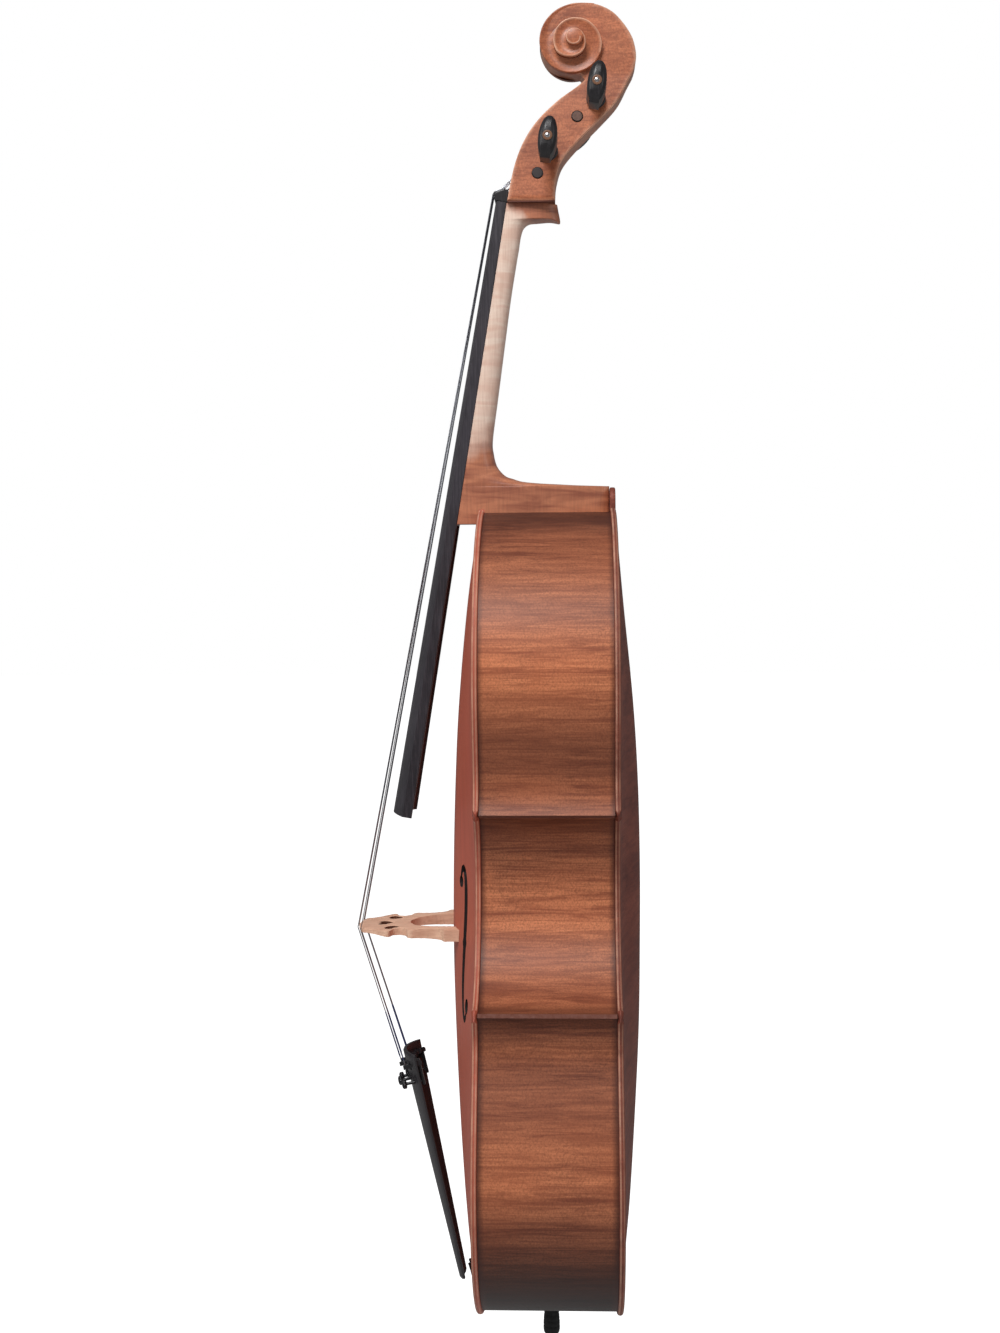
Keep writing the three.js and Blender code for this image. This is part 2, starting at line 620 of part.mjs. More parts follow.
function tunerLever(x) {
  const bend = [[6.5, 2], [6.5, -1.6], [-5.2, -1.6], [-5.2, -5.2], [-10.6, -5.2], [-10.6, 20],
    [-7.6, 20], [-7.6, 4.5], [-5.2, 2]];
  const blank = alongX(bend.map(([above, down]) => flat(tunerPoint(x, above, down))), x - 1.5, x + 1.5);
  return cut(blank, axle(x, 1 + PLAY, 5));
}

const flat = (p) => [p.y, p.z];

function axle(x, radius, reach) {
  const at = tunerPoint(x, ...PIVOT);
  return rod(radius, at.clone().setX(x - reach), at.clone().setX(x + reach), 10);
}

// Lugs under the tailpiece that carry the lever's axle.
function lugs(x) {
  const face = [[-2, -5.4], [-10.4, -5.4], [-10.4, -0.2], [-2, 1.5]];
  const plate = face.map(([above, down]) => flat(tunerPoint(x, above, down)));
  return [-3.4, 1.9].map((from) => alongX(plate, x + from, x + from + 1.5));
}

function tunerScrew(x) {
  const from = tunerPoint(x, -7.3, 16);
  const axis = tunerPoint(x, 10, 16).sub(from).normalize();
  return turned([[0, 0], [1.5, 0], [1.5, 14.5], [4.2, 14.9], [4.4, 15.6], [4.4, 18], [4, 18.8],
    [0, 19]], 14, from, axis);
}

function stringRun(i) {
  const name = STRING_NAMES[i];
  const radius = STRING_RADII[i];
  const row = PEGS.find((entry) => entry[0] === name);
  const at = pegAxis(row);
  const hand = row[3];
  const coil = PEG_LARGE + radius + PLAY;
  const start = hand * Math.min(headOuter(at.z) - 6.5 - 2.2, 9);
  const leave = THREE.MathUtils.degToRad(135);
  const points = [];
  const steps = 21;
  for (let k = 0; k <= steps; k += 1) {
    const turn = leave + ((steps - k) / 9) * 2 * Math.PI;
    const x = lerp(start - hand * 6.2, start, k / steps);
    points.push(v3(x, at.y + coil * Math.cos(turn), at.z + coil * Math.sin(turn)));
  }
  if (name === 'd') {
    const under = pegAxis(PEGS[1]);
    points.push(v3(nutX(i) * 1.2, under.y - 5.3, under.z + 5.3));
  }
  const lift = radius + PLAY;
  points.push(v3(nutX(i), NUT_TOP + 7 - lift * 0.6, NUT_Z + 12.2 + lift * 0.8));
  points.push(v3(nutX(i), NUT_TOP - lift - 0.15, NUT_Z + 9.2));
  points.push(v3(bridgeX(i), bridgeLine(bridgeX(i)) - lift - 0.4, BRIDGE_Z));
  const end = tunerPoint(TAIL_X[i], 4.2, -1.6 - 0.4 - radius * 0.2);
  points.push(end);
  return cord(points, radius);
}

function nut() {
  const low = NUT_Z + GLUE;
  const lean = (boardUnder(NUT_Z) - NUT_TOP) * NECK_RAKE + GLUE;
  const profile = [[boardUnder(NUT_Z) + GLUE * 2, low], [NUT_TOP + 0.9, low + lean], [NUT_TOP, NUT_Z + 5],
    [NUT_TOP, NUT_Z + 8.5], [NUT_TOP + 7, NUT_Z + 12], [NUT_TOP + 13, NUT_Z + 12], [-34.2, NUT_Z + 11.2]];
  return alongX(profile, -BOARD_NUT / 2, BOARD_NUT / 2);
}

function fingerboard() {
  const stations = [0, 0.2, 0.4, 0.6, 0.8, 1];
  const section = (share) => {
    const half = lerp(BOARD_NUT, BOARD_END, share) / 2;
    const arch = lerp(BOARD_ARCH_NUT, BOARD_ARCH_END, share);
    const top = [-1, -0.75, -0.5, -0.25, 0, 0.25, 0.5, 0.75, 1]
      .map((s) => [s * half, -BOARD_SIDE - arch * (1 - s * s)]);
    return [[-half, 0], ...top, [half, 0]];
  };
  const body = loft(stations.map(section), (p, i) => {
    const z = NUT_Z - stations[i] * BOARD_LENGTH;
    return v3(p[0], boardUnder(z) + p[1], z - p[1] * NECK_RAKE);
  });
  const from = CROWN - MORTISE - 8;
  const scoop = [0, 0.5, 1].map((share) => {
    const half = lerp(boardHalf(from), BOARD_END / 2, share) - 5;
    return [[-half, 3], [-half, -2], [-half * 0.5, -6.5], [half * 0.5, -6.5], [half, -2], [half, 3]];
  });
  const channel = loft(scoop, (p, i) => {
    const z = lerp(from, BOARD_LOW - 4, i / 2);
    return v3(p[0], boardUnder(z) + p[1], z);
  });
  return cut(body, channel);
}

// ---------- Endpin and tail gut ----------
const UP = v3(0, 0, 1);
const PLUG_NECK = 13;
const PLUG_WIDE = 12.6;          // plug where it enters the rib
const SCREW_Z = BASE - 12.2;

function endpinPlug() {
  const bore = PIN_RADIUS + PLAY;
  const body = turned([[bore, 38], [11, 38], [PLUG_WIDE, OVERHANG - GLUE], [PLUG_NECK, OVERHANG - GLUE],
    [PLUG_NECK, -1.4], [17, -2.4], [17.6, -4.6], [16.4, -6.8], [11.5, -7.4], [11.5, -15.7],
    [10, -16.7], [bore, -16.7], [bore, 38]], 24, v3(0, 0, BASE), UP);
  return cut(body, rod(2.2 + PLAY, v3(0, 0, SCREW_Z), v3(-20, 0, SCREW_Z), 12));
}

function thumbscrew() {
  return turned([[0, PIN_RADIUS + GLUE], [2.2, PIN_RADIUS + GLUE], [2.2, 13], [4.9, 13.6],
    [4.9, 20], [4.2, 21], [0, 21]], 12, v3(0, 0, SCREW_Z), v3(-1, 0, 0));
}

function endpinTip() {
  return turned([[0, 0], [5, 0], [7.4, 2.2], [8, 6], [7.6, 16], [7, 25.5], [6, 26.5],
    [PIN_RADIUS + GLUE, 26.5], [PIN_RADIUS + GLUE, 8], [0, 8]], 20, v3(0, 0, 0), UP);
}

const SADDLE_HALF = 21;
const SADDLE_TOP = 5.2;          // height of the saddle above the plate's edge

function saddle(grow = 0) {
  const low = BASE - grow;
  const face = caseHalf(BASE);
  return alongX([
    [-face + EDGE - GLUE, low], [-face - SADDLE_TOP + 2, low], [-face - SADDLE_TOP, low + 2.5],
    [-face - SADDLE_TOP + 1, low + 8], [-face - 1, BASE + 12 + grow], [-face + EDGE - GLUE, BASE + 12 + grow],
  ], -SADDLE_HALF - grow, SADDLE_HALF + grow);
}

function tailGut() {
  const radius = 1.2;
  const crest = -caseHalf(BASE) - SADDLE_TOP - radius - PLAY;
  const z = BASE + OVERHANG - radius - GLUE - 1.2;
  const arm = [
    v3(5, -79.5, BASE + 27.3), v3(5.4, -77.2, BASE + 20), v3(8, crest, BASE + 4),
    v3(9, crest + 0.8, BASE - radius - 0.4), v3(10.5, crest + 8, BASE - radius - 0.6),
    v3(PLUG_NECK + radius + PLAY, -6, z),
  ];
  const round = [];
  const reach = PLUG_NECK + radius + PLAY;
  for (let i = 1; i < 10; i += 1) {
    const turn = (Math.PI * i) / 10;
    round.push(v3(reach * Math.cos(turn), reach * Math.sin(turn), z));
  }
  const back = arm.map((p) => v3(-p.x, p.y, p.z)).reverse();
  return cord([...arm, v3(reach, 0, z), ...round, v3(-reach, 0, z), ...back], radius, 6);
}

// ---------- Body pieces ----------
const HEEL = neck();
const heelRoom = (() => {
  const grown = neckSection(HEEL_LOW, heelBack).map(([x, y]) => [
    x + Math.sign(x) * FIT, y > 0 ? y + FIT : y]);
  const wide = grown[0][0];
  return alongZ([[wide, -120], ...grown, [-wide, -120]], HEEL_LOW - FIT, CROWN + 60);
})();

function fHole() {
  const line = smooth([[48.5, 413], [51.5, 420.5], [57.5, 421.5], [62, 411], [64.5, 387], [66.5, 355],
    [70, 323], [76.5, 299], [84, 289.5], [90, 290.5], [93.5, 298]], 26);
  const width = (share) => 2.1 + 2.6 * Math.sin(Math.PI * share);
  const flankOf = (sign) => line.map(([x, z], i) => {
    const before = line[Math.max(i - 1, 0)];
    const after = line[Math.min(i + 1, line.length - 1)];
    const [dx, dz] = [after[0] - before[0], after[1] - before[1]];
    const length = Math.hypot(dx, dz);
    const w = sign * width(i / (line.length - 1));
    return [x + (dz / length) * w, rise(z - (dx / length) * w)];
  });
  return [...flankOf(1), ...flankOf(-1).reverse()];
}

function topPlate() {
  const blank = sheet(topOuter, topInner).intersect(alongY(outline(0), -120, 0));
  const stem = fHole();
  const eyes = [[49, 409, 5.6], [92.5, 302, 7]];
  const openings = [alongY(stem, -120, 0), alongY(mirrored(stem), -120, 0)];
  for (const [x, z, radius] of eyes) {
    for (const hand of [-1, 1]) {
      openings.push(rod(radius, v3(hand * x, -120, rise(z)), v3(hand * x, 0, rise(z)), 12));
    }
  }
  return cut(blank, ...openings, heelRoom, saddle(FIT));
}

function backPlate() {
  const blank = sheet(backInner, backOuter).intersect(alongY(outline(0), 0, 120));
  const arc = [];
  for (let i = 0; i <= 10; i += 1) {
    const turn = (Math.PI * i) / 10;
    arc.push([BUTTON * Math.cos(turn), CROWN + 7 + 12 * Math.sin(turn)]);
  }
  const button = alongY([...arc, [-BUTTON, CROWN - 20], [BUTTON, CROWN - 20]], 0, 120)
    .intersect(wedge((z) => ribHalf(z), (z) => caseHalf(z)));
  return blank.add(button);
}

// A strip bent to one of the body curves, between two insets from the outline.
function strip(curve, near, far, keep = () => true, bound = betweenPlates) {
  const kept = (points) => points.filter((_, i) => keep(curve[i]))
    .map(([x, z]) => [Math.max(x, GLUE / 2), z]);
  const ring = [...kept(inset(curve, near)), ...kept(inset(curve, far)).reverse()];
  return (hand) => alongY(hand > 0 ? ring : mirrored(ring), -90, 90).intersect(bound);
}

const LOW_CORNER = LOWER[LOWER.length - 1];
const HIGH_CORNER = UPPER[0];
const apart = (p, q) => Math.hypot(p[0] - q[0], p[1] - q[1]);
const BLOCK_REACH = 34;
const BLOCK_HALF = 40;

function cornerBlock(boutCurve, corner, hand) {
  const near = (p) => apart(p, corner) < BLOCK_REACH && apart(p, corner) > 4;
  const depth = OVERHANG + RIB + GLUE;
  const a = inset(boutCurve, depth).filter((_, i) => near(boutCurve[i]));
  const b = inset(MIDDLE, depth).filter((_, i) => near(MIDDLE[i]));
  if (corner === LOW_CORNER) a.reverse();
  if (corner === HIGH_CORNER) b.reverse();
  const ring = [...a.reverse(), ...b];
  return alongY(hand > 0 ? ring : mirrored(ring), -90, 90).intersect(betweenPlates);
}

function endBlock(curve, inner) {
  const half = curve.filter((p) => p[0] < BLOCK_HALF).sort((p, q) => p[0] - q[0]);
  half[0][0] = 0;
  const across = [...mirrored(half.slice(1)).reverse(), ...half];
  return alongY([...across, [BLOCK_HALF, inner], [-BLOCK_HALF, inner]], -90, 90)
    .intersect(betweenPlates);
}

const plugBore = rod(PLUG_WIDE + FIT, v3(0, 0, BASE - 5), v3(0, 0, BASE + 60), 24);

function ribs() {
  const [near, far] = [OVERHANG, OVERHANG + RIB];
  const made = {};
  for (const [hand, name] of [[1, 'treble'], [-1, 'bass']]) {
    const low = strip(LOWER, near, far)(hand);
    const mid = strip(MIDDLE, near, far)(hand);
    const high = strip(UPPER, near, far)(hand);
    made[`rib_lower_${name}`] = cut(low, plugBore);
    made[`rib_waist_${name}`] = mid;
    made[`rib_upper_${name}`] = cut(high, heelRoom);
  }
  return made;
}

function linings() {
  const [near, far] = [OVERHANG + RIB + GLUE, OVERHANG + RIB + GLUE + LINING];
  const off = BLOCK_REACH + 3;
  const clear = {
    lower: (p) => p[0] > BLOCK_HALF + 4 && apart(p, LOW_CORNER) > off,
    waist: (p) => apart(p, LOW_CORNER) > off && apart(p, HIGH_CORNER) > off,
    upper: (p) => p[0] > BLOCK_HALF + 4 && apart(p, HIGH_CORNER) > off,
  };
  const curves = { lower: LOWER, waist: MIDDLE, upper: UPPER };
  const made = {};
  for (const [place, curve] of Object.entries(curves)) {
    for (const [face, bound] of [['front', frontStrip], ['back', backStrip]]) {
      const bend = strip(curve, near, far, clear[place], bound);
      made[`lining_${place}_${face}_treble`] = bend(1);
      made[`lining_${place}_${face}_bass`] = bend(-1);
    }
  }
  return made;
}

function bassBar() {
  const x = -24;
  const half = 5.5;
  const [low, high] = [BASE + 0.13 * BODY_LENGTH, BASE + 0.9 * BODY_LENGTH];
  const line = [];
  for (let i = 0; i <= 10; i += 1) {
    const z = lerp(low, high, i / 10);
    const deep = 5 + 19 * Math.sin((Math.PI * i) / 10);
    line.push([topInner(x, z) + deep, z]);
  }
  return cut(alongX([...line, [-130, high], [-130, low]], x - half, x + half), overTop);
}

function soundPost() {
  const at = BRIDGE_Z - 16;
  return cut(rod(5.5, v3(24, -130, at), v3(24, 130, at), 16), overTop, underBack);
}

// ---------- Assembly ----------
const cello = new THREE.Group();
cello.name = 'cello';

function put(name, solid, finish) {
  const mesh = new THREE.Mesh(toGeometry(solid), new THREE.MeshStandardMaterial(FINISH[finish]));
  mesh.name = name;
  cello.add(mesh);
}

put('top_plate', topPlate(), 'spruce');
put('back_plate', backPlate(), 'back');
for (const [name, solid] of Object.entries(ribs())) put(name, solid, 'maple');
for (const [name, solid] of Object.entries(linings())) put(name, solid, 'bare');
for (const [hand, name] of [[1, 'treble'], [-1, 'bass']]) {
  put(`corner_block_upper_${name}`, cornerBlock(UPPER, HIGH_CORNER, hand), 'bare');
  put(`corner_block_lower_${name}`, cornerBlock(LOWER, LOW_CORNER, hand), 'bare');
}
const ribDepth = OVERHANG + RIB + GLUE;
put('upper_block', cut(endBlock(inset(UPPER, ribDepth), CROWN - 52), heelRoom), 'bare');
put('lower_block', cut(endBlock(inset(LOWER, ribDepth), BASE + 40), plugBore), 'bare');
put('bass_bar', bassBar(), 'bare');
put('sound_post', soundPost(), 'bare');
put('neck', HEEL, 'neck');
put('head', cut(head(), ...PEGS.map(pegBore)), 'maple');
put('fingerboard', fingerboard(), 'ebony');
put('nut', nut(), 'ebony');
for (const row of PEGS) put(`peg_${row[0]}`, peg(row), 'ebony');
put('bridge', bridge(), 'bridge');
STRING_NAMES.forEach((name, i) => put(`string_${name}`, stringRun(i), 'steel'));
put('tailpiece', tailpiece(), 'black');
STRING_NAMES.forEach((name, i) => {
  put(`tuner_lever_${name}`, tunerLever(TAIL_X[i]), 'black');
  put(`tuner_screw_${name}`, tunerScrew(TAIL_X[i]), 'black');
  put(`tuner_pin_${name}`, axle(TAIL_X[i], 1, 3.3), 'steel');
});
put('tail_gut', tailGut(), 'rubber');
put('saddle', saddle(), 'ebony');
put('endpin_plug', endpinPlug(), 'ebony');
put('endpin_shaft', rod(PIN_RADIUS, v3(0, 0, 8 + GLUE), v3(0, 0, BASE + PIN_INSIDE), 16), 'steel');
put('endpin_tip', endpinTip(), 'rubber');
put('endpin_thumbscrew', thumbscrew(), 'steel');

export default cello;
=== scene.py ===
"""Looks of the cello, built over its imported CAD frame. Sizes below are in millimetres."""

import math

import bmesh
import bpy
import numpy as np
from mathutils import Matrix, Vector
from mathutils.geometry import delaunay_2d_cdt


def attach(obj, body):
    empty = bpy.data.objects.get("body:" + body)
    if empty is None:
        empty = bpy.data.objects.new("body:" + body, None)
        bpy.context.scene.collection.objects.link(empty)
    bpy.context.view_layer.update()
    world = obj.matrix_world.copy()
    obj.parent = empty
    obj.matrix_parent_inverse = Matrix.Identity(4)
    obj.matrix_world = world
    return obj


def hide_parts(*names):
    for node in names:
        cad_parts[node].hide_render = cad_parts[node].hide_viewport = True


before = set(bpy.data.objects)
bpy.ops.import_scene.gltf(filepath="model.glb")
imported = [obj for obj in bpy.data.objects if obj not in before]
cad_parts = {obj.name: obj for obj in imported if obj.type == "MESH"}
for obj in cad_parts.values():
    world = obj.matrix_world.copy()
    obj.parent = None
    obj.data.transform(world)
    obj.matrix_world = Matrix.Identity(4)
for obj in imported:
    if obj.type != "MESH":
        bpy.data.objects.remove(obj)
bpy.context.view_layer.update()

# ---------- sizes
BASE, BODY = 44.0, 755.0
CROWN = BASE + BODY
NUT_Z = CROWN + 281.0
LB, CB, UB = 220.0, 116.0, 171.5      # half widths of the lower bout, waist and upper bout
EDGE, OVERHANG, RIB = 5.4, 3.5, 1.8  # plate edge, its overhang, rib thickness
CASE_LOW, CASE_HIGH = 132.5, 127.5   # depth of the body over both plates
TOP_ARCH, BACK_ARCH = 26.5, 21.3
BOARD_LENGTH, BOARD_NUT, BOARD_END = 571.0, 32.0, 63.0
BOARD_SIDE, ARCH_NUT, ARCH_END, RAKE = 8.5, 2.2, 11.0, 0.1623
BRIDGE_Z = CROWN - 398.0
# Each peg: y, height above the nut, side of its head, lean of the head in degrees.
PEGS = {"c": (-7.4, 25.6, -1, 8), "g": (29.3, 76.8, -1, 50), "d": (46.6, 91.7, 1, 9), "a": (2.7, 44.6, 1, 8)}
NAMES = ["c", "g", "d", "a"]
RADII = [0.85, 0.65, 0.5, 0.4]         # of the strings
SHARE_X = [-0.5, -0.17, 0.17, 0.5]     # of the string spread, at nut and bridge
TAIL_X = [-19.0, -6.4, 6.4, 19.0]
TAIL_LOW, TAIL_HIGH = 12.0, 238.0


def lerp(a, b, t):
    return a + (b - a) * t


def smooth_line(points, count):
    """Catmull-Rom through the points, as rows of a numpy array."""
    p = np.array(points, float)
    n = len(p) - 1
    t = np.linspace(0, n, count + 1)
    i = np.minimum(t.astype(int), n - 1)
    w = (t - i)[:, None]
    p0, p1, p2, p3 = p[np.maximum(i - 1, 0)], p[i], p[i + 1], p[np.minimum(i + 2, n)]
    v0, v1 = (p2 - p0) * 0.5, (p3 - p1) * 0.5
    return (2 * p1 - 2 * p2 + v0 + v1) * w**3 + (-3 * p1 + 3 * p2 - 2 * v0 - v1) * w**2 + v0 * w + p1


# ---------- outline and arch
def bouts(rows, step):
    out = []
    for row in rows:
        a, b, c, d = (np.array([x, BASE + z], float) for x, z in row)
        length = np.linalg.norm(b - a) + np.linalg.norm(c - b) + np.linalg.norm(d - c)
        t = np.linspace(0, 1, max(int(length / step), 3) + 1)[:, None]
        line = a * (1 - t)**3 + 3 * b * t * (1 - t)**2 + 3 * c * t**2 * (1 - t) + d * t**3
        out.extend(line[1 if out else 0:].tolist())
    return np.array(out)


LOWER_ROWS = [[(0, 0), (LB * 0.545, 0), (LB, 75), (LB, 165)],
        [(LB, 165), (LB, 212), (LB - 32, 262), (LB - 36, 284)],
        [(LB - 36, 284), (LB - 38.2, 296), (LB - 32, 307), (LB - 25.5, 316)]]
MIDDLE_ROWS = [[(LB - 31.5, 324.5), (LB - 52, 318), (CB, 352), (CB, 415)],
        [(CB, 415), (CB, 450), (UB - 35.5, 483), (UB - 18, 480.5)]]
UPPER_ROWS = [[(UB - 11.5, 488.5), (UB - 16, 496), (UB - 20, 505), (UB - 19, 516)],
        [(UB - 19, 516), (UB - 17.6, 531), (UB, 566), (UB, 602)],
        [(UB, 602), (UB, 682), (98, 755), (0, 755)]]
STEP = 4.0
LOWER, MIDDLE, UPPER = (bouts(rows, STEP) for rows in (LOWER_ROWS, MIDDLE_ROWS, UPPER_ROWS))


def inset(line, distance):
    before = line[np.maximum(np.arange(len(line)) - 1, 0)]
    after = line[np.minimum(np.arange(len(line)) + 1, len(line) - 1)]
    along = after - before
    along /= np.linalg.norm(along, axis=1)[:, None]
    return line + np.stack([-along[:, 1], along[:, 0]], 1) * distance


def outline(distance):
    half = np.concatenate([inset(part, distance) for part in (LOWER, MIDDLE, UPPER)])
    half[0] = (0, BASE + distance)
    half[-1] = (0, CROWN - distance)
    return np.concatenate([half, half[1:-1][::-1] * (-1, 1)])


def within(polygon, points):
    """Which points lie inside the polygon."""
    result = np.zeros(len(points), bool)
    for (x1, z1), (x2, z2) in zip(polygon, np.roll(polygon, -1, 0)):
        if z1 != z2:
            crosses = (z1 > points[:, 1]) != (z2 > points[:, 1])
            result ^= crosses & (points[:, 0] < x1 + (x2 - x1) * (points[:, 1] - z1) / (z2 - z1))
    return result


def distance_to(polygon, points):
    best = np.full(len(points), 1e9)
    for a, b in zip(polygon, np.roll(polygon, -1, 0)):
        edge = b - a
        t = np.clip(((points - a) @ edge) / max(edge @ edge, 1e-9), 0, 1)[:, None]
        best = np.minimum(best, np.linalg.norm(points - a - t * edge, axis=1))
    return best


CELL = 2.5
COLUMNS, ROWS = int(LB / CELL) + 2, int(BODY / CELL) + 2


def film():
    """A stretched film over half the outline, relaxed in two colours."""
    x, z = np.meshgrid(np.arange(COLUMNS) * CELL + 0.01, BASE + np.arange(ROWS) * CELL)
    inside = within(outline(8.0), np.stack([x.ravel(), z.ravel()], 1)).reshape(ROWS, COLUMNS)
    inside[[0, -1]] = False
    inside[:, -1] = False
    height = np.zeros((ROWS, COLUMNS))
    parity = (np.add.outer(np.arange(ROWS), np.arange(COLUMNS)) % 2).astype(bool)
    for _ in range(900):
        for colour in (parity, ~parity):
            left = np.concatenate([height[:, 1:2], height[:, :-1]], 1)
            right = np.concatenate([height[:, 1:], height[:, -1:]], 1)
            mean = (left + right + np.roll(height, 1, 0) + np.roll(height, -1, 0) + 1) / 4
            height = np.where(inside & colour, height + 1.92 * (mean - height), height)
    return height


FILM = film()


def film_at(x, z):
    c = np.minimum(np.abs(x) / CELL, COLUMNS - 1.001)
    r = np.clip((z - BASE) / CELL, 0, ROWS - 1.001)
    i, j = c.astype(int), r.astype(int)
    u, v = c - i, r - j
    return lerp(lerp(FILM[j, i], FILM[j, i + 1], u), lerp(FILM[j + 1, i], FILM[j + 1, i + 1], u), v)


TOP_LONG = smooth_line([(0.012, 0), (0.064, 0.38), (0.142, 0.59), (0.246, 0.78), (0.351, 0.92), (0.45, 1),
        (0.556, 0.99), (0.658, 0.91), (0.759, 0.76), (0.886, 0.42), (0.988, 0)], 400)
BACK_LONG = smooth_line([(0.012, 0), (0.091, 0.27), (0.143, 0.47), (0.248, 0.72), (0.351, 0.91),
        (0.454, 0.98), (0.556, 1), (0.658, 0.93), (0.759, 0.73), (0.885, 0.31),
        (0.988, 0)], 400)


def arch(long, full, x, z):
    x, z = np.asarray(x, float), np.asarray(z, float)
    middle = film_at(np.zeros_like(x), z)
    share = np.clip(np.where(middle > 0, film_at(x, z) / np.maximum(middle, 1e-9), 0), 0, 1)
    across = (1 + np.cos(np.pi * np.sqrt(1 - share))) / 2
    return full * np.interp((z - BASE) / BODY, long[:, 0], long[:, 1]) * across


def case_half(z):
    return lerp(CASE_LOW, CASE_HIGH, (z - BASE) / BODY) / 2


def rib_half(z):
    return case_half(z) - EDGE


def top_arch(x, z):
    return arch(TOP_LONG, TOP_ARCH, x, z)


def back_arch(x, z):
    return arch(BACK_LONG, BACK_ARCH, x, z)


def hollow(height):
    return np.maximum(0, np.minimum(1.6 * height - 3, height + 0.9))


# ---------- mesh helpers
def put(name, data):
    """A new object in the scene."""
    obj = bpy.data.objects.new(name, data)
    bpy.context.scene.collection.objects.link(obj)
    return obj


def add(name, points, faces, material, body="cello", node=None, smooth=40, values=None, wall_shade=None):
    """A mesh from millimetre points, riding on a body and standing for a CAD node."""
    mesh = bpy.data.meshes.new(name)
    mesh.from_pydata((np.asarray(points, float) * 0.001).tolist(), [], [list(map(int, f)) for f in faces])
    mesh.validate()
    for key, value in (values or {}).items():
        layer = mesh.attributes.new(key, "FLOAT", "POINT")
        layer.data.foreach_set("value", np.asarray(value, np.float32))
    mesh.materials.append(material)
    # painted shade: a second, darker material on the faces of hole walls
    if wall_shade:
        mesh.materials.append(wall_shade[0])
        mesh.polygons.foreach_set("material_index", wall_shade[1])
    obj = put(name, mesh)
    bpy.context.view_layer.objects.active = obj
    obj.select_set(True)
    if smooth:
        bpy.ops.object.shade_smooth_by_angle(angle=math.radians(smooth))
    obj.select_set(False)
    tidy_normals(obj)
    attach(obj, body)
    if node:
        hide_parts(node)
    return obj


def tidy_normals(obj):
    """Turns every face of the mesh outwards."""
    work = bmesh.new()
    work.from_mesh(obj.data)
    bmesh.ops.recalc_face_normals(work, faces=work.faces)
    work.to_mesh(obj.data)
    work.free()


def merge(*parts):
    points, faces, start = [], [], 0
    for p, f in parts:
        points.append(np.asarray(p, float))
        faces.extend([[v + start for v in face] for face in f])
        start += len(p)
    return np.concatenate(points), faces


def loft(rings, caps=True):
    rings = [np.asarray(r, float) for r in rings]
    n = len(rings[0])
    faces = []
    for i in range(len(rings) - 1):
        for j in range(n):
            k = (j + 1) % n
            faces.append([i * n + j, i * n + k, (i + 1) * n + k, (i + 1) * n + j])
    if caps:
        faces.append(list(range(n))[::-1])
        faces.append([(len(rings) - 1) * n + j for j in range(n)])
    return np.concatenate(rings), faces


def lathe(profile, sides, origin, axis, ridges=0, ridge_depth=0.0, ridge_rows=()):
    axis = Vector(axis).normalized()
    turn = Vector((0, 0, 1)).rotation_difference(axis).to_matrix()
    angles = np.linspace(0, 2 * math.pi, sides, endpoint=False)
    rings = []
    for row, (radius, up) in enumerate(profile):
        r = np.full(sides, max(radius, 0.01))
        if row in ridge_rows:
            r -= ridge_depth * (np.cos(angles * ridges) > 0)
        flat = np.stack([r * np.cos(angles), r * np.sin(angles), np.full(sides, up)], 1)
        rings.append(flat @ np.array(turn).T + np.array(origin))
    return loft(rings)


def tube(points, radius, sides=12):
    """A round cord through the points. radius may be a list."""
    p = np.asarray(points, float)
    r = np.full(len(p), radius) if np.isscalar(radius) else np.interp(
        np.linspace(0, 1, len(p)), np.linspace(0, 1, len(radius)), radius)
    side = np.array([1.0, 0, 0])
    rings = []
    angles = np.linspace(0, 2 * math.pi, sides, endpoint=False)
    for i in range(len(p)):
        a, b = p[max(i - 1, 0)], p[min(i + 1, len(p) - 1)]
        d0 = (p[i] - a) / max(np.linalg.norm(p[i] - a), 1e-9)
        d1 = (b - p[i]) / max(np.linalg.norm(b - p[i]), 1e-9)
        along = (d0 + d1) / max(np.linalg.norm(d0 + d1), 1e-9)
        side = side - along * (side @ along)
        side /= np.linalg.norm(side)
        other = np.cross(along, side)
        rings.append(p[i] + r[i] * (np.outer(np.cos(angles), side) + np.outer(np.sin(angles), other)))
    return loft(rings)


def triangulate(loops, extra, keep):
    """Delaunay over closed loops and extra points; triangles are kept by their centres."""
    points = [np.asarray(loop, float) for loop in loops]
    edges, start = [], 0
    for loop in points:
        n = len(loop)
        edges.extend((start + i, start + (i + 1) % n) for i in range(n))
        start += n
    everything = np.concatenate(points + ([extra] if len(extra) else []))
    verts, _, faces, *_ = delaunay_2d_cdt([Vector(v) for v in everything.tolist()], edges, [], 0, 1e-4)
    flat = np.array([v[:] for v in verts])
    faces = np.array([f[:] for f in faces])
    return flat, faces[keep(flat[faces].mean(1))]


def slab(flat, faces, near, far):
    """Closes a flat triangulation into a solid between two sheets of 3-D points."""
    n = len(flat)
    out = faces.tolist() + (faces[:, ::-1] + n).tolist()
    seen = {}
    for a, b, c in faces.tolist():
        for e in ((a, b), (b, c), (c, a)):
            key = (min(e), max(e))
            seen[key] = None if key in seen else e
    out += [[b, a, a + n, b + n] for e in seen.values() if e for a, b in [e]]
    return np.concatenate([near, far]), out


def grid(x0, x1, z0, z1, step):
    x, z = np.meshgrid(np.arange(x0, x1, step), np.arange(z0, z1, step))
    x[1::2] += step / 2
    return np.stack([x.ravel(), z.ravel()], 1)


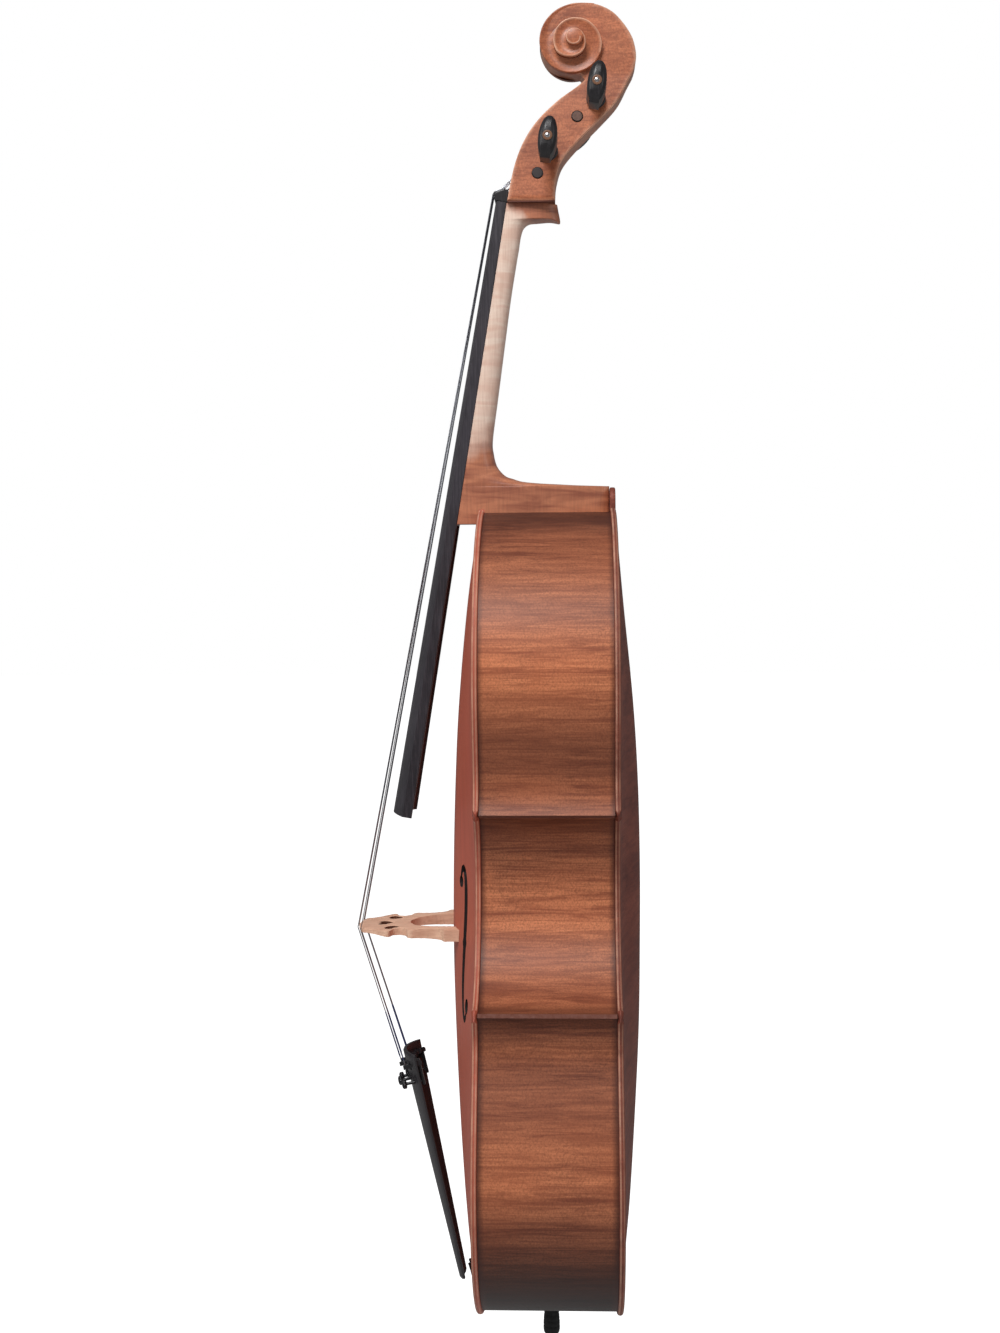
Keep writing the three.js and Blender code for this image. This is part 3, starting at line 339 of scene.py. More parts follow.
def rounded(node, width, material, body="cello"):
    """A copy of a CAD piece with its edges rounded, in the piece's place."""
    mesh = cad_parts[node].data.copy()
    mesh.materials.clear()
    mesh.materials.append(material)
    obj = put(f"{node}_rounded", mesh)
    obj.matrix_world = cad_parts[node].matrix_world.copy()
    mod = obj.modifiers.new("edge", "BEVEL")
    mod.width, mod.segments, mod.limit_method = width * 0.001, 2, "ANGLE"
    mod.angle_limit = math.radians(35)
    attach(obj, body)
    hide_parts(node)


# ---------- materials
def srgb(r, g, b):
    def one(c):
        c /= 255
        return c / 12.92 if c <= 0.04045 else ((c + 0.055) / 1.055)**2.4
    return one(r), one(g), one(b), 1.0


class Shader:
    """A short way to write one node material."""

    def __init__(self, name, roughness=0.4, coat=0.0, coat_rough=0.1, metallic=0.0, specular=0.5):
        self.material = bpy.data.materials.new(name)
        self.material.use_nodes = True
        self.tree = self.material.node_tree
        self.bsdf = self.tree.nodes["Principled BSDF"]
        for key, value in (("Roughness", roughness), ("Coat Weight", coat), ("Coat Roughness", coat_rough),
                ("Metallic", metallic), ("Specular IOR Level", specular)):
            self.bsdf.inputs[key].default_value = value
        self.place = self.node("ShaderNodeTexCoord").outputs["Object"]

    def node(self, kind, **inputs):
        made = self.tree.nodes.new(kind)
        for key, value in inputs.items():
            self.feed(made.inputs[key.replace("_", " ")], value)
        return made

    def feed(self, socket, value):
        if isinstance(value, bpy.types.NodeSocket):
            self.tree.links.new(value, socket)
        else:
            socket.default_value = value

    def noise(self, scale, detail=5.0, rough=0.55, distortion=0.0, turn=(0, 0, 0)):
        mapping = self.node("ShaderNodeMapping", Vector=self.place, Scale=scale, Rotation=turn)
        made = self.node("ShaderNodeTexNoise", Vector=mapping.outputs[0], Scale=1.0, Detail=detail,
                Roughness=rough, Distortion=distortion)
        return made.outputs["Fac"]

    def ramp(self, value, low, high, a=0.0, b=1.0):
        made = self.node("ShaderNodeMapRange", Value=value)
        for key, v in (("From Min", low), ("From Max", high), ("To Min", a), ("To Max", b)):
            made.inputs[key].default_value = v
        return made.outputs["Result"]

    def mix(self, fac, a, b, kind="MIX"):
        made = self.tree.nodes.new("ShaderNodeMix")
        made.data_type = "RGBA"
        made.blend_type = kind
        self.feed(made.inputs["Factor"], fac)
        self.feed(made.inputs["A"], a)
        self.feed(made.inputs["B"], b)
        return made.outputs["Result"]

    def sums(self, operation, a, b):
        made = self.tree.nodes.new("ShaderNodeMath")
        made.operation = operation
        self.feed(made.inputs[0], a)
        self.feed(made.inputs[1], b)
        return made.outputs[0]

    def times(self, a, b):
        return self.sums("MULTIPLY", a, b)

    def axis(self, name):
        split = self.node("ShaderNodeSeparateXYZ", Vector=self.place)
        return split.outputs[name]

    def bump(self, height, strength, distance=0.0004):
        made = self.node("ShaderNodeBump", Height=height, Strength=strength, Distance=distance)
        self.feed(self.bsdf.inputs["Normal"], made.outputs[0])

    def colour(self, value):
        self.feed(self.bsdf.inputs["Base Color"], value)

    def rough(self, value):
        self.feed(self.bsdf.inputs["Roughness"], value)


def flamed(name, light, dark, curl, coat=0.45, roughness=0.4, turn=(0, 0, 0), shade=None):
    """Varnished curly maple: curl is the noise scale of the fine flame."""
    s = Shader(name, roughness=roughness, coat=coat, coat_rough=0.35, specular=0.3)
    fine = s.ramp(s.noise(curl, 4.0, 0.62, 1.0, turn), 0.4, 0.6)
    broad = s.ramp(s.noise([c * 0.22 for c in curl], 3.0, 0.55, 0.4, turn), 0.36, 0.64)
    pores = s.ramp(s.noise((900, 620, 520), 4.0, 0.65), 0.42, 0.66)
    cloud = s.ramp(s.noise((9, 9, 9), 3.0), 0.36, 0.66)
    figure = s.sums("ADD", s.times(fine, 0.5), s.times(broad, 0.5))
    base = s.mix(figure, srgb(*dark), srgb(*light))
    base = s.mix(s.times(pores, 0.48), base, srgb(*[c * 0.6 for c in dark]))
    redder = srgb(light[0] * 0.86, light[1] * 0.76, light[2] * 0.7)
    base = s.mix(s.times(cloud, 0.35), base, redder)
    if shade:
        base = shade(s, base)
    s.colour(base)
    s.bump(pores, 0.1)
    return wear_and_highlight(s)


def purfled(s):
    """Dark inlay lines beside the plate's edge, from the distance stored on the mesh."""
    edge = s.node("ShaderNodeAttribute")
    edge.attribute_name = "edge_mm"
    lines = None
    for low, high in ((3.9, 4.35), (4.85, 5.3)):
        band = s.times(s.sums("GREATER_THAN", edge.outputs["Fac"], low),
                s.sums("LESS_THAN", edge.outputs["Fac"], high))
        lines = band if lines is None else s.sums("ADD", lines, band)
    base = s.bsdf.inputs["Base Color"].links[0].from_socket
    border = s.ramp(edge.outputs["Fac"], 2.2, 3.4, 0.5, 0.0)
    base = s.mix(border, base, srgb(126, 62, 44))
    s.colour(s.mix(lines, base, srgb(34, 20, 16)))
    return s


def wear_and_highlight(s):
    """Varnish rubbed thin along an arris, and a painted highlight there, from the rim value stored on the
    mesh.
    """
    rim = s.node("ShaderNodeAttribute")
    rim.attribute_name = "rim"
    rub_and_sheen = s.ramp(s.noise((60, 60, 60), 4.0, 0.6), 0.3, 0.6, 0.35, 1.0)
    base = s.bsdf.inputs["Base Color"].links[0].from_socket
    s.colour(s.mix(s.times(s.times(rim.outputs["Fac"], rub_and_sheen), 0.85), base,
            srgb(246, 196, 166)))
    return s


FULL_SHINE = 190      # a mark of this size leaves the wood's colour as it is


def rib_shade(s, base):
    """Painted light and shade on the ribs from foot to top, then a painted shade band along both plates.

    The marks were set, as brightnesses out of 255, until patches of the render
    were about as bright as the same patches of the photograph. They hold its shading too.
    """
    level = s.ramp(s.axis("Z"), BASE * 0.001, CROWN * 0.001)
    light_and_shade = s.node("ShaderNodeValToRGB", Fac=level)
    stops = light_and_shade.color_ramp
    # painted light and shade: bright where the ribs face the lamps, dark at the foot, beside the corners and
    # under the neck
    marks = (
        (0.0, 14), (0.05, 20), (0.09, 34), (0.13, 68), (0.165, 108), (0.195, 134), (0.24, 180), (0.3, 146),
        (0.35, 126), (0.4, 136), (0.416, 84), (0.423, 74), (0.43, 146), (0.44, 152), (0.52, 188),
        (0.565, 186), (0.61, 150), (0.637, 98), (0.644, 152), (0.68, 145), (0.725, 128), (0.82, 204),
        (0.88, 152), (0.935, 138), (0.965, 120), (0.985, 70), (1.0, 46))
    while len(stops.elements) < len(marks):
        stops.elements.new(0.5)
    for element, (place, shine) in zip(stops.elements, marks):
        element.position = place
        element.color = [(shine / FULL_SHINE)**power for power in (1.55, 1.72, 1.68)] + [1]
    shaded = s.mix(1.0, base, light_and_shade.outputs["Color"], "MULTIPLY")
    # painted shade: the ribs darken in a band beside both plates
    across = s.sums("ABSOLUTE", s.axis("Y"), 0.0)
    plate_shade = s.ramp(across, 0.054, 0.059, 0.0, 0.75)
    return s.mix(plate_shade, shaded, srgb(70, 34, 26))


def spruce_top():
    s = Shader("varnished_spruce", roughness=0.52, coat=0.12, coat_rough=0.35, specular=0.3)
    grain = s.ramp(s.noise((900, 30, 5), 3.0, 0.6, 0.4), 0.4, 0.66)
    broad = s.ramp(s.noise((60, 20, 3), 3.0), 0.35, 0.7)
    wear = s.ramp(s.noise((8, 8, 8), 3.0), 0.4, 0.72)
    base = s.mix(s.times(grain, 0.5), srgb(196, 96, 74), srgb(150, 66, 52))
    base = s.mix(s.times(broad, 0.35), base, srgb(168, 84, 62))
    s.colour(s.mix(s.times(wear, 0.2), base, srgb(206, 122, 94)))
    s.bump(grain, 0.1)
    return wear_and_highlight(purfled(s)).material


def bare_wood(name, light, dark, scale, roughness=0.62):
    s = Shader(name, roughness=roughness, specular=0.3)
    grain = s.ramp(s.noise(scale, 4.0, 0.6, 0.3), 0.35, 0.68)
    fleck = s.ramp(s.noise((420, 420, 160), 3.0), 0.56, 0.72)
    base = s.mix(grain, srgb(*light), srgb(*dark))
    s.colour(s.mix(s.times(fleck, 0.35), base, srgb(*[c * 0.8 for c in dark])))
    s.bump(grain, 0.12)
    return s


def neck_wood():
    """Bare at the hand, varnished at the root and the chin, with the fade between."""
    s = Shader("neck_maple", roughness=0.45, coat=0.12, coat_rough=0.3)
    curl = s.ramp(s.noise((20, 20, 120), 3.0, 0.5, 0.8, (0.35, 0, 0)), 0.36, 0.64)
    fibre = s.ramp(s.noise((500, 500, 40), 5.0, 0.6), 0.4, 0.7)
    bare = s.mix(curl, srgb(240, 202, 182), srgb(252, 226, 208))
    bare = s.mix(s.times(fibre, 0.22), bare, srgb(160, 118, 96))
    brown = s.mix(curl, srgb(164, 94, 68), srgb(208, 132, 96))
    brown = s.mix(s.times(fibre, 0.25), brown, srgb(104, 56, 40))
    drift = s.times(s.noise((60, 60, 60), 3.0), 0.02)
    up = s.sums("ADD", s.axis("Z"), s.times(s.axis("Y"), 0.8))
    chin = s.ramp(s.sums("ADD", up, drift), 1.052, 1.066)
    root = s.ramp(s.sums("ADD", s.sums("SUBTRACT", s.axis("Z"), s.times(s.axis("Y"), 0.5)), drift),
            0.916, 0.886)
    cover = s.sums("MAXIMUM", chin, root)
    s.colour(s.mix(cover, bare, brown))
    s.feed(s.bsdf.inputs["Coat Weight"], s.ramp(cover, 0, 1, 0.1, 0.7))
    s.bump(fibre, 0.1)
    return s.material


def black_wood(name, light=(58, 54, 58), dark=(20, 18, 20), roughness=0.38, coat=0.12):
    s = Shader(name, roughness=roughness, coat=coat, coat_rough=0.2)
    pores = s.ramp(s.noise((700, 700, 30), 5.0, 0.7), 0.45, 0.72)
    cloud = s.ramp(s.noise((25, 25, 8), 3.0), 0.35, 0.7)
    base = s.mix(cloud, srgb(*dark), srgb(*[(a + b) / 2 for a, b in zip(light, dark)]))
    s.colour(s.mix(s.times(pores, 0.55), base, srgb(*light)))
    s.rough(s.ramp(pores, 0, 1, roughness, roughness + 0.12))
    s.bump(pores, 0.06)
    return s.material


def plain(name, colour, roughness, metallic=0.0, coat=0.0, grain=300, spread=0.2, scale=None):
    s = Shader(name, roughness=roughness, metallic=metallic, coat=coat)
    speck = s.noise(scale or (grain, grain, grain), 4.0, 0.6)
    s.colour(s.mix(s.times(s.ramp(speck, 0.35, 0.7), spread), srgb(*colour),
            srgb(*[c * 0.5 for c in colour])))
    s.rough(s.ramp(speck, 0.3, 0.7, roughness * 0.85, min(roughness * 1.2, 1)))
    s.bump(speck, 0.05)
    return s.material


RIB_MAT = flamed("rib_maple", (240, 152, 106), (148, 80, 56), (44, 16, 330), coat=0.12, roughness=0.5,
        shade=rib_shade).material
HEAD_MAT = flamed("head_maple", (214, 132, 92), (146, 80, 56), (70, 60, 300), coat=0.4, roughness=0.4,
        turn=(0.12, 0, 0)).material
BACK_MAT = purfled(flamed("back_maple", (156, 84, 66), (108, 52, 42), (26, 30, 170), coat=0.05, roughness=0.6,
        turn=(0, 0.35, 0))).material
# painted shade: near black on the f-hole walls, for the dark inside of the body
HOLE_MAT = plain("f_hole_painted_shade", (26, 15, 13), 0.8)
TOP_MAT = spruce_top()
NECK_MAT = neck_wood()
BARE_MAT = bare_wood("inner_spruce", (222, 190, 146), (196, 158, 112), (500, 60, 8)).material
BRIDGE_MAT = bare_wood("bridge_maple", (244, 200, 172), (222, 172, 144), (260, 40, 400), 0.5).material
# painted shade: darker wood on the walls of the bridge's kidneys and heart
BRIDGE_HOLE_SHADE = bare_wood("bridge_hole_painted_shade", (112, 66, 46), (78, 44, 32), (260, 40, 400), 0.6).material
EBONY = black_wood("ebony")
BOARD_MAT = black_wood("fingerboard_ebony", (84, 78, 86), (34, 31, 36), 0.34, 0.2)
TAIL_MAT = black_wood("tailpiece_black", (62, 56, 62), (26, 24, 27), 0.42, 0.15)
STEEL = plain("string_steel", (176, 178, 186), 0.28, 1.0, spread=0.35, scale=(200, 200, 2600))
ROD_MAT = plain("pin_steel", (150, 152, 158), 0.24, 1.0, spread=0.2)
BLACK_METAL = plain("tuner_black", (30, 30, 33), 0.32, 0.3, 0.3)
RUBBER = plain("tip_rubber", (24, 24, 25), 0.72)
CORD_MAT = plain("tail_cord", (20, 19, 20), 0.5, scale=(1500, 1500, 1500))
SILK = plain("string_silk", (62, 74, 120), 0.75, scale=(400, 400, 3000), spread=0.7)
SILVER = plain("peg_pin_silver", (212, 212, 214), 0.22, 1.0)
RING_MAT = plain("peg_eye_brown", (124, 84, 58), 0.5)
DARK_END = plain("peg_end_black", (58, 50, 50), 0.5)
BROWN_END = plain("peg_end_brown", (116, 84, 72), 0.55, spread=0.5)
END_MATS = {"c": DARK_END, "g": BROWN_END, "d": DARK_END, "a": BROWN_END}
MITRE_MAT = plain("corner_mitre", (112, 60, 44), 0.7)
SEAM = plain("graft_line", (104, 56, 40), 0.6)

# ---------- plates
F_LINE = smooth_line([
    (48.5, 413), (51.5, 420.5), (57.5, 421.5), (62, 411), (64.5, 387), (66.5, 355), (70, 323), (76.5, 299),
    (84, 289.5), (90, 290.5), (93.5, 298)], 70)
F_EYES = ((49, 409, 5.6), (92.5, 302, 7))


def f_hole(hand):
    """The stem of an f with its nick, and the round eye at each end."""
    line = F_LINE + (0, BASE)
    along = np.gradient(line, axis=0)
    along /= np.linalg.norm(along, axis=1)[:, None]
    side = np.stack([along[:, 1], -along[:, 0]], 1)
    width = (2.1 + 2.6 * np.sin(np.pi * np.linspace(0, 1, len(line))))[:, None]
    nick = int(np.argmin(np.abs(line[:, 1] - BASE - 355)))
    width = width + np.where(np.arange(len(line)) == nick, 1.6, 0)[:, None]
    loops = [np.concatenate([line + side * width, (line - side * width)[::-1]])]
    for x, z, radius in F_EYES:
        a = np.linspace(0, 2 * np.pi, 36, endpoint=False)
        loops.append(np.stack([x + radius * np.cos(a), BASE + z + radius * np.sin(a)], 1))
    return [loop * (hand, 1) for loop in loops]


def notch_box(x, z0, z1):
    return np.array([(-x, z0), (x, z0), (x, z1), (-x, z1)], float)


def plate(is_top):
    """One arched plate with a rounded edge: points, faces, stored values and which faces are hole walls."""
    steps = (0.35, 0.9, 1.6, 2.4, 3.4, 4.1, 4.6, 5.1, 5.9, 7.5, 10)
    rings = [outline(d) for d in steps]
    edge = outline(0)
    holes = f_hole(1) + f_hole(-1) if is_top else []
    inner = grid(-LB, LB, BASE, CROWN, 5.0)
    inner = inner[within(rings[-1], inner)]
    inner = inner[distance_to(rings[-1], inner) > 2.2]
    for hole in holes:
        inner = inner[(distance_to(hole, inner) > 1.6) & ~within(hole, inner)]
    loops = [edge] + holes
    rows = [ring[distance_to(edge, ring) > 0.92 * d] for ring, d in zip(rings, steps)]
    extra = np.concatenate(rows + [inner])
    cuts = []
    if is_top:
        cuts = [notch_box(24.2, CROWN - 15.3, CROWN + 9), notch_box(21.3, BASE - 9, BASE + 12.3)]
        loops += cuts
        for box in cuts:
            extra = extra[~within(box, extra) & (distance_to(box, extra) > 0.4)]

    def keep(centres):
        good = within(edge, centres)
        for hole in holes + cuts:
            good &= ~within(hole, centres)
        return good

    flat, faces = triangulate(loops, extra, keep)
    x, z = flat[:, 0], flat[:, 1]
    d = distance_to(edge, flat)
    gap = np.full(len(flat), 99.0)
    for box in cuts:
        gap = np.minimum(gap, distance_to(box, flat))
    d = np.where(gap < 0.3, np.maximum(d, 2.5), d)
    gap_free = gap > 1.5
    r = 2.4
    drop = r - np.sqrt(np.maximum(r * r - np.maximum(r - d, 0)**2, 0))
    height = top_arch(x, z) if is_top else back_arch(x, z)
    outside = case_half(z) + height - drop
    under = rib_half(z) + hollow(height) + drop
    sign = -1 if is_top else 1
    near = np.stack([x, sign * outside, z], 1)
    far = np.stack([x, sign * under, z], 1)
    points, all_faces = slab(flat, faces, near, far)
    walls = [1 if len(face) == 4 and d[face[0]] > 20 else 0 for face in all_faces]
    # rim: worn varnish and a painted highlight along the edge's arris
    rim = np.clip(1 - np.abs(d - 0.5) / 0.5, 0, 1) * gap_free
    values = {"edge_mm": np.concatenate([d, d + 50]), "rim": np.concatenate([rim, rim])}
    return points, all_faces, values, walls


points, faces, values, walls = plate(True)
add("belly", points, faces, TOP_MAT, node="top_plate", values=values, wall_shade=(HOLE_MAT, walls))

points, faces, values, walls = plate(False)
turn = np.linspace(0, math.pi, 25)
rim = np.stack([13.9 * np.cos(turn), CROWN + 6.8 + 12 * np.sin(turn)], 1)
rim = np.concatenate([rim, [(-13.9, CROWN - 12), (13.9, CROWN - 12)]])
layers = []
for shrink, depth in ((1.3, 0.0), (0.35, 0.5), (0, 1.4), (0, 4.0), (0.35, 4.9), (1.3, 5.35)):
    ring = rim.copy()
    ring[:25] = np.stack([(13.9 - shrink) * np.cos(turn), CROWN + 6.8 + (12 - shrink) * np.sin(turn)], 1)
    layers.append(np.stack([ring[:, 0], rib_half(ring[:, 1]) + depth, ring[:, 1]], 1))
button = loft(layers)
points, faces = merge((points, faces), button)
for key, fill in (("edge_mm", 20.0), ("rim", 0.0)):
    values[key] = np.concatenate([values[key], np.full(len(button[0]), fill)])
add("back", points, faces, BACK_MAT, node="back_plate", values=values)

# ---------- ribs
def rib(line, hand, trim=None):
    """A bent strip between the plates, its long edges eased."""
    outer, inner = inset(line, OVERHANG), inset(line, OVERHANG + RIB)
    if trim is not None:
        outer[:, 0], inner[:, 0] = np.maximum(outer[:, 0], trim), np.maximum(inner[:, 0], trim)
    rings = []
    for a, b in zip(outer, inner):
        half = rib_half(a[1]) - 0.15
        ys = [-half, -half + 0.3, -half * 0.5, 0, half * 0.5, half - 0.3, half]
        face = [(hand * a[0], y, a[1]) for y in ys]
        back = [(hand * b[0], y, b[1]) for y in ys[::-1]]
        rings.append(face + back)
    return loft(rings)


for hand, side_name in ((1, "treble"), (-1, "bass")):
    add(f"rib_low_{side_name}", *rib(LOWER, hand, 0.1), RIB_MAT, node=f"rib_lower_{side_name}")
    add(f"rib_mid_{side_name}", *rib(MIDDLE, hand), RIB_MAT, node=f"rib_waist_{side_name}")
    upper = UPPER[UPPER[:, 0] > 17.2]
    add(f"rib_high_{side_name}", *rib(upper, hand), RIB_MAT, node=f"rib_upper_{side_name}")
    for label, bout, end, start in (("low", LOWER, -1, 0), ("high", UPPER, 0, -1)):
        deep = OVERHANG + RIB
        ring = np.array([inset(curve, depth)[at] for curve, at, depth in (
            (bout, end, OVERHANG), (bout, end, deep), (MIDDLE, start, deep), (MIDDLE, start, OVERHANG))])
        half = rib_half(ring[0, 1]) - 0.15
        post = [np.stack([hand * ring[:, 0], np.full(4, y), ring[:, 1]], 1) for y in (-half, 0, half)]
        add(f"mitre_{label}_{side_name}", *loft(post), MITRE_MAT)

# ---------- neck
HEEL_BACK = rib_half(CROWN) - 0.2


def board_under(z):
    return RAKE * (z - NUT_Z + 3.5) - 36.7


def board_half(z):
    return lerp(BOARD_NUT, BOARD_END, (NUT_Z - z) / BOARD_LENGTH) / 2


def neck_ring(z, back, count=48):
    front = board_under(z) + 0.2
    half = board_half(min(z, NUT_Z))
    deep = back - front
    slim = min(max((deep - 40) / 90, 0), 1)
    a = np.linspace(0, math.pi, count)
    reach = np.sin(a)**0.85
    width = lerp(half - 0.5, 13.6, slim * reach)
    x = np.sign(np.cos(a)) * np.abs(np.cos(a))**0.72 * width
    return np.stack([x, front + deep * reach, np.full(count, z)], 1)


NECK_BACK = [(19.8, HEEL_BACK), (20.8, 30), (21.8, 12), (22.9, -7), (24.6, -23), (27.4, -32.4), (29.3, -38),
        (33.1, -42.7), (39.7, -47.4), (50, -50.1), (64, -51), (101, -46), (150, -39.3), (194, -33.2),
        (229, -27.4), (240, -25.4), (251, -23.7), (258.4, -21.5), (262, -18.6), (264.2, -14.5),
        (265.4, -8), (265.9, 2), (266.4, 10), (267, 13), (270, 13), (275, 11.7), (280.4, 10.6)]


def droop(y, up):
    """How far the chin's point hangs below its root."""
    out = np.clip(y / 13, 0, 1)
    return 3.6 * out * out * np.clip((up - 255) / 8, 0, 1) * np.clip((280 - up) / 14, 0, 1)


def neck():
    line = smooth_line([(y, CROWN + up) for up, y in NECK_BACK], 170)
    zs = np.maximum.accumulate(line[:, 1])
    stations = [(CROWN + up, HEEL_BACK) for up in (-15, 0, 12, 18.6)]
    keep_from = CROWN + 19.4
    for y, z in zip(line[:, 0], zs):
        z = max(z, keep_from)
        keep_from = z + 0.02
        stations.append((z, y))
    rings = [neck_ring(z, y) for z, y in stations if z < NUT_Z - 0.55]
    for ring in rings:
        ring[:, 2] -= droop(ring[:, 1], ring[:, 2] - CROWN)
    return loft(rings)


add("neck_shaft", *neck(), NECK_MAT, node="neck", smooth=50)

# ---------- head
EYE = np.array([27.3, 145.0])
HEAD_FRONT = [
    (-35.4, 0.8), (-31.8, 19.6), (-27.1, 37.6), (-19.6, 55.6), (-7.6, 73.4), (10.8, 91.1), (29, 104),
    (36.5, 110.4)]
HEAD_TURN = [
    (32.5, 115.3), (24.2, 117.1), (9, 121.2), (0.1, 128.8), (-3.8, 137.8), (-4.1, 146.8), (0, 161),
    (7, 170.4), (14.9, 176), (24, 179.2), (32.3, 179.9), (43, 179.2), (53.2, 176.2), (63, 170.5),
    (72, 160.9), (78.5, 151), (81.7, 143), (83.6, 130.9), (81.3, 118.7), (75.8, 108), (66, 90.2),
    (49.2, 72.5), (30.9, 54.8), (15.6, 37), (9.9, 20.8), (8.6, 8), (8.7, 0.4)]
CAVITY = [
    (-50, 12), (-1.5, 12), (3.5, 26), (10, 41), (23, 59), (43, 75.5), (59, 92.5), (50, 102.5), (24, 106),
    (-50, 70)]
# Turns of the scroll as (degrees round the eye, radius, half width).
VOLUTE = np.array([
    (60, 39, 13.7), (75, 35.6, 13.8), (90, 34, 14), (135, 32.8, 14.8), (180, 32.4, 15.8), (225, 31, 17),
    (270, 29.0, 18), (311, 27.6, 19.2), (350, 25.2, 20.6), (391, 21.6, 21.8), (441, 19.2, 22.8),
    (491, 19.2, 23.6), (546, 19.6, 24.4), (576, 20, 24.8), (609, 17.4, 25.6), (661, 14.2, 26.8),
    (701, 10.4, 27.8), (740, 8.4, 28.6), (768, 7.9, 29.2), (829, 8.1, 30), (884, 8, 30.6),
    (942, 7.6, 30.9), (1400, 0.5, 30.9)])


def head_outer(z):
    return np.interp(z, [NUT_Z - 0.5, NUT_Z + 75, NUT_Z + 115], [21, 16.5, 13.8])


def volute(phi):
    return np.interp(phi, VOLUTE[:, 0], VOLUTE[:, 1]), np.interp(phi, VOLUTE[:, 0], VOLUTE[:, 2])


def head_sheet():
    """Pegbox and first turn: both cheeks over the side outline, with eased arrises."""
    loop = np.concatenate([smooth_line(HEAD_FRONT, 60), smooth_line(HEAD_TURN, 210)]) + (0, NUT_Z)
    inner = grid(-40, 90, NUT_Z, NUT_Z + 182, 3.0)
    inner = inner[within(loop, inner)]
    inner = inner[distance_to(loop, inner) > 1.9]
    step = np.roll(loop, -1, 0) - np.roll(loop, 1, 0)
    step /= np.linalg.norm(step, axis=1)[:, None]
    normal = np.stack([-step[:, 1], step[:, 0]], 1)
    rings = []
    for d in (0.5, 1.2):
        for sign in (1, -1):
            ring = loop + sign * normal * d
            ring = ring[within(loop, ring)]
            rings.append(ring[distance_to(loop, ring) > d * 0.9])
    flat, faces = triangulate([loop], np.concatenate(rings + [inner]), lambda c: within(loop, c))
    d = distance_to(loop, flat)
    half = head_outer(flat[:, 1]) - 1.1 * np.maximum(1 - d / 1.1, 0)
    near = np.stack([half, flat[:, 0], flat[:, 1]], 1)
    far = np.stack([-half, flat[:, 0], flat[:, 1]], 1)
    # rim: worn varnish and a painted highlight along the cheeks' eased arrises
    rim = np.clip(1 - np.abs(d - 0.6) / 0.9, 0, 1)
    return *slab(flat, faces, near, far), np.concatenate([rim, rim])


def volute_side(hand):
    """The turns as one strip: rising wall, eased arris, fluted band, foot of the next wall."""
    rings, rim = [], []
    for phi in np.arange(62, 1085, 4.0):
        a = math.radians(phi)
        r, half = volute(phi)
        r_in = volute(phi + 360)[0]
        base = head_outer(NUT_Z + 120) - 3
        lower = base if phi < 420 else half - 4.5
        band = max(r - r_in, 0.6)
        ease = min(0.9, band * 0.2)
        flute = min(1.7, band * 0.16)
        row = [(r, lower), (r, half - ease), (r - ease * 0.3, half - ease * 0.3), (r - ease, half)]
        for t in (0.15, 0.3, 0.45, 0.6, 0.75, 0.9, 1.0):
            row.append((r - ease - (band - ease) * t, half - flute * math.sin(math.pi * t * 0.86)))
        row.append((max(r_in - 0.8, 0.05), half - flute))
        # rim: a painted highlight along the turns' arris beyond 330 degrees
        rim.append([0, 0.7 * (phi > 330), 1.0 * (phi > 330), 0.5 * (phi > 330)] + [0] * 8)
        rings.append([(hand * h, EYE[0] + q * math.cos(a), NUT_Z + EYE[1] + q * math.sin(a)) for q, h in row])
    rings = [np.array(r) for r in rings]
    n = len(rings[0])
    faces = [[i * n + j, i * n + j + 1, (i + 1) * n + j + 1, (i + 1) * n + j]
            for i in range(len(rings) - 1) for j in range(n - 1)]
    dome = lathe([(7.4, 0), (7.4, 2.6), (7.1, 3.2), (5.5, 3.6), (3, 3.8), (0, 3.85)], 48,
            (hand * 27.0, EYE[0], NUT_Z + EYE[1]), (hand, 0, 0))
    points, faces = merge((np.concatenate(rings), faces), dome)
    rim = np.concatenate([np.ravel(rim), np.zeros(len(points) - n * len(rings))])
    return points, faces, {"rim": rim}


def cutter(name, points, faces):
    mesh = bpy.data.meshes.new(name)
    mesh.from_pydata((np.asarray(points, float) * 0.001).tolist(), [], [list(map(int, f)) for f in faces])
    obj = put(name, mesh)
    tidy_normals(obj)
    return obj


def carve(target, *tools):
    """Cuts the tools out of the target and drops them."""
    for tool in tools:
        mod = target.modifiers.new("cut", "BOOLEAN")
        mod.operation, mod.object, mod.solver = "DIFFERENCE", tool, "EXACT"
        bpy.context.view_layer.objects.active = target
        bpy.ops.object.modifier_apply(modifier=mod.name)
        bpy.data.objects.remove(tool)


points, faces, rim = head_sheet()
head = add("pegbox", points, faces, HEAD_MAT, node="head", smooth=35, values={"rim": rim})
side_view = smooth_line(CAVITY, 54) + (0, NUT_Z)
rings = []
for x in (-1, 1):
    rings.append([(x * (head_outer(z) - 6.5), y, z) for y, z in side_view])
well = cutter("well", *loft(rings))
bores = []
for name, (y, up, hand, lean) in PEGS.items():
    at = (-hand * 30.0, y, NUT_Z + up)
    bores.append(cutter("bore", *lathe([(5.15, 0), (6.55, 60)], 40, at, (hand, 0, 0))))
carve(head, well, *bores)
for hand in (1, -1):
    points, faces, values = volute_side(hand)
    add(f"volute_{'treble' if hand > 0 else 'bass'}", points, faces, HEAD_MAT, smooth=38, values=values)

SEAM_LOW, SEAM_HIGH = NUT_Z - 0.65, NUT_Z + 0.45
corners = ((-35.1, SEAM_LOW), (8.5, SEAM_LOW), (8.5, SEAM_HIGH), (-35.1, SEAM_HIGH))
seam = [[(x, y, z) for y, z in corners] for x in (-20.6, 20.6)]
add("graft_seam", *loft(seam), SEAM, smooth=0)

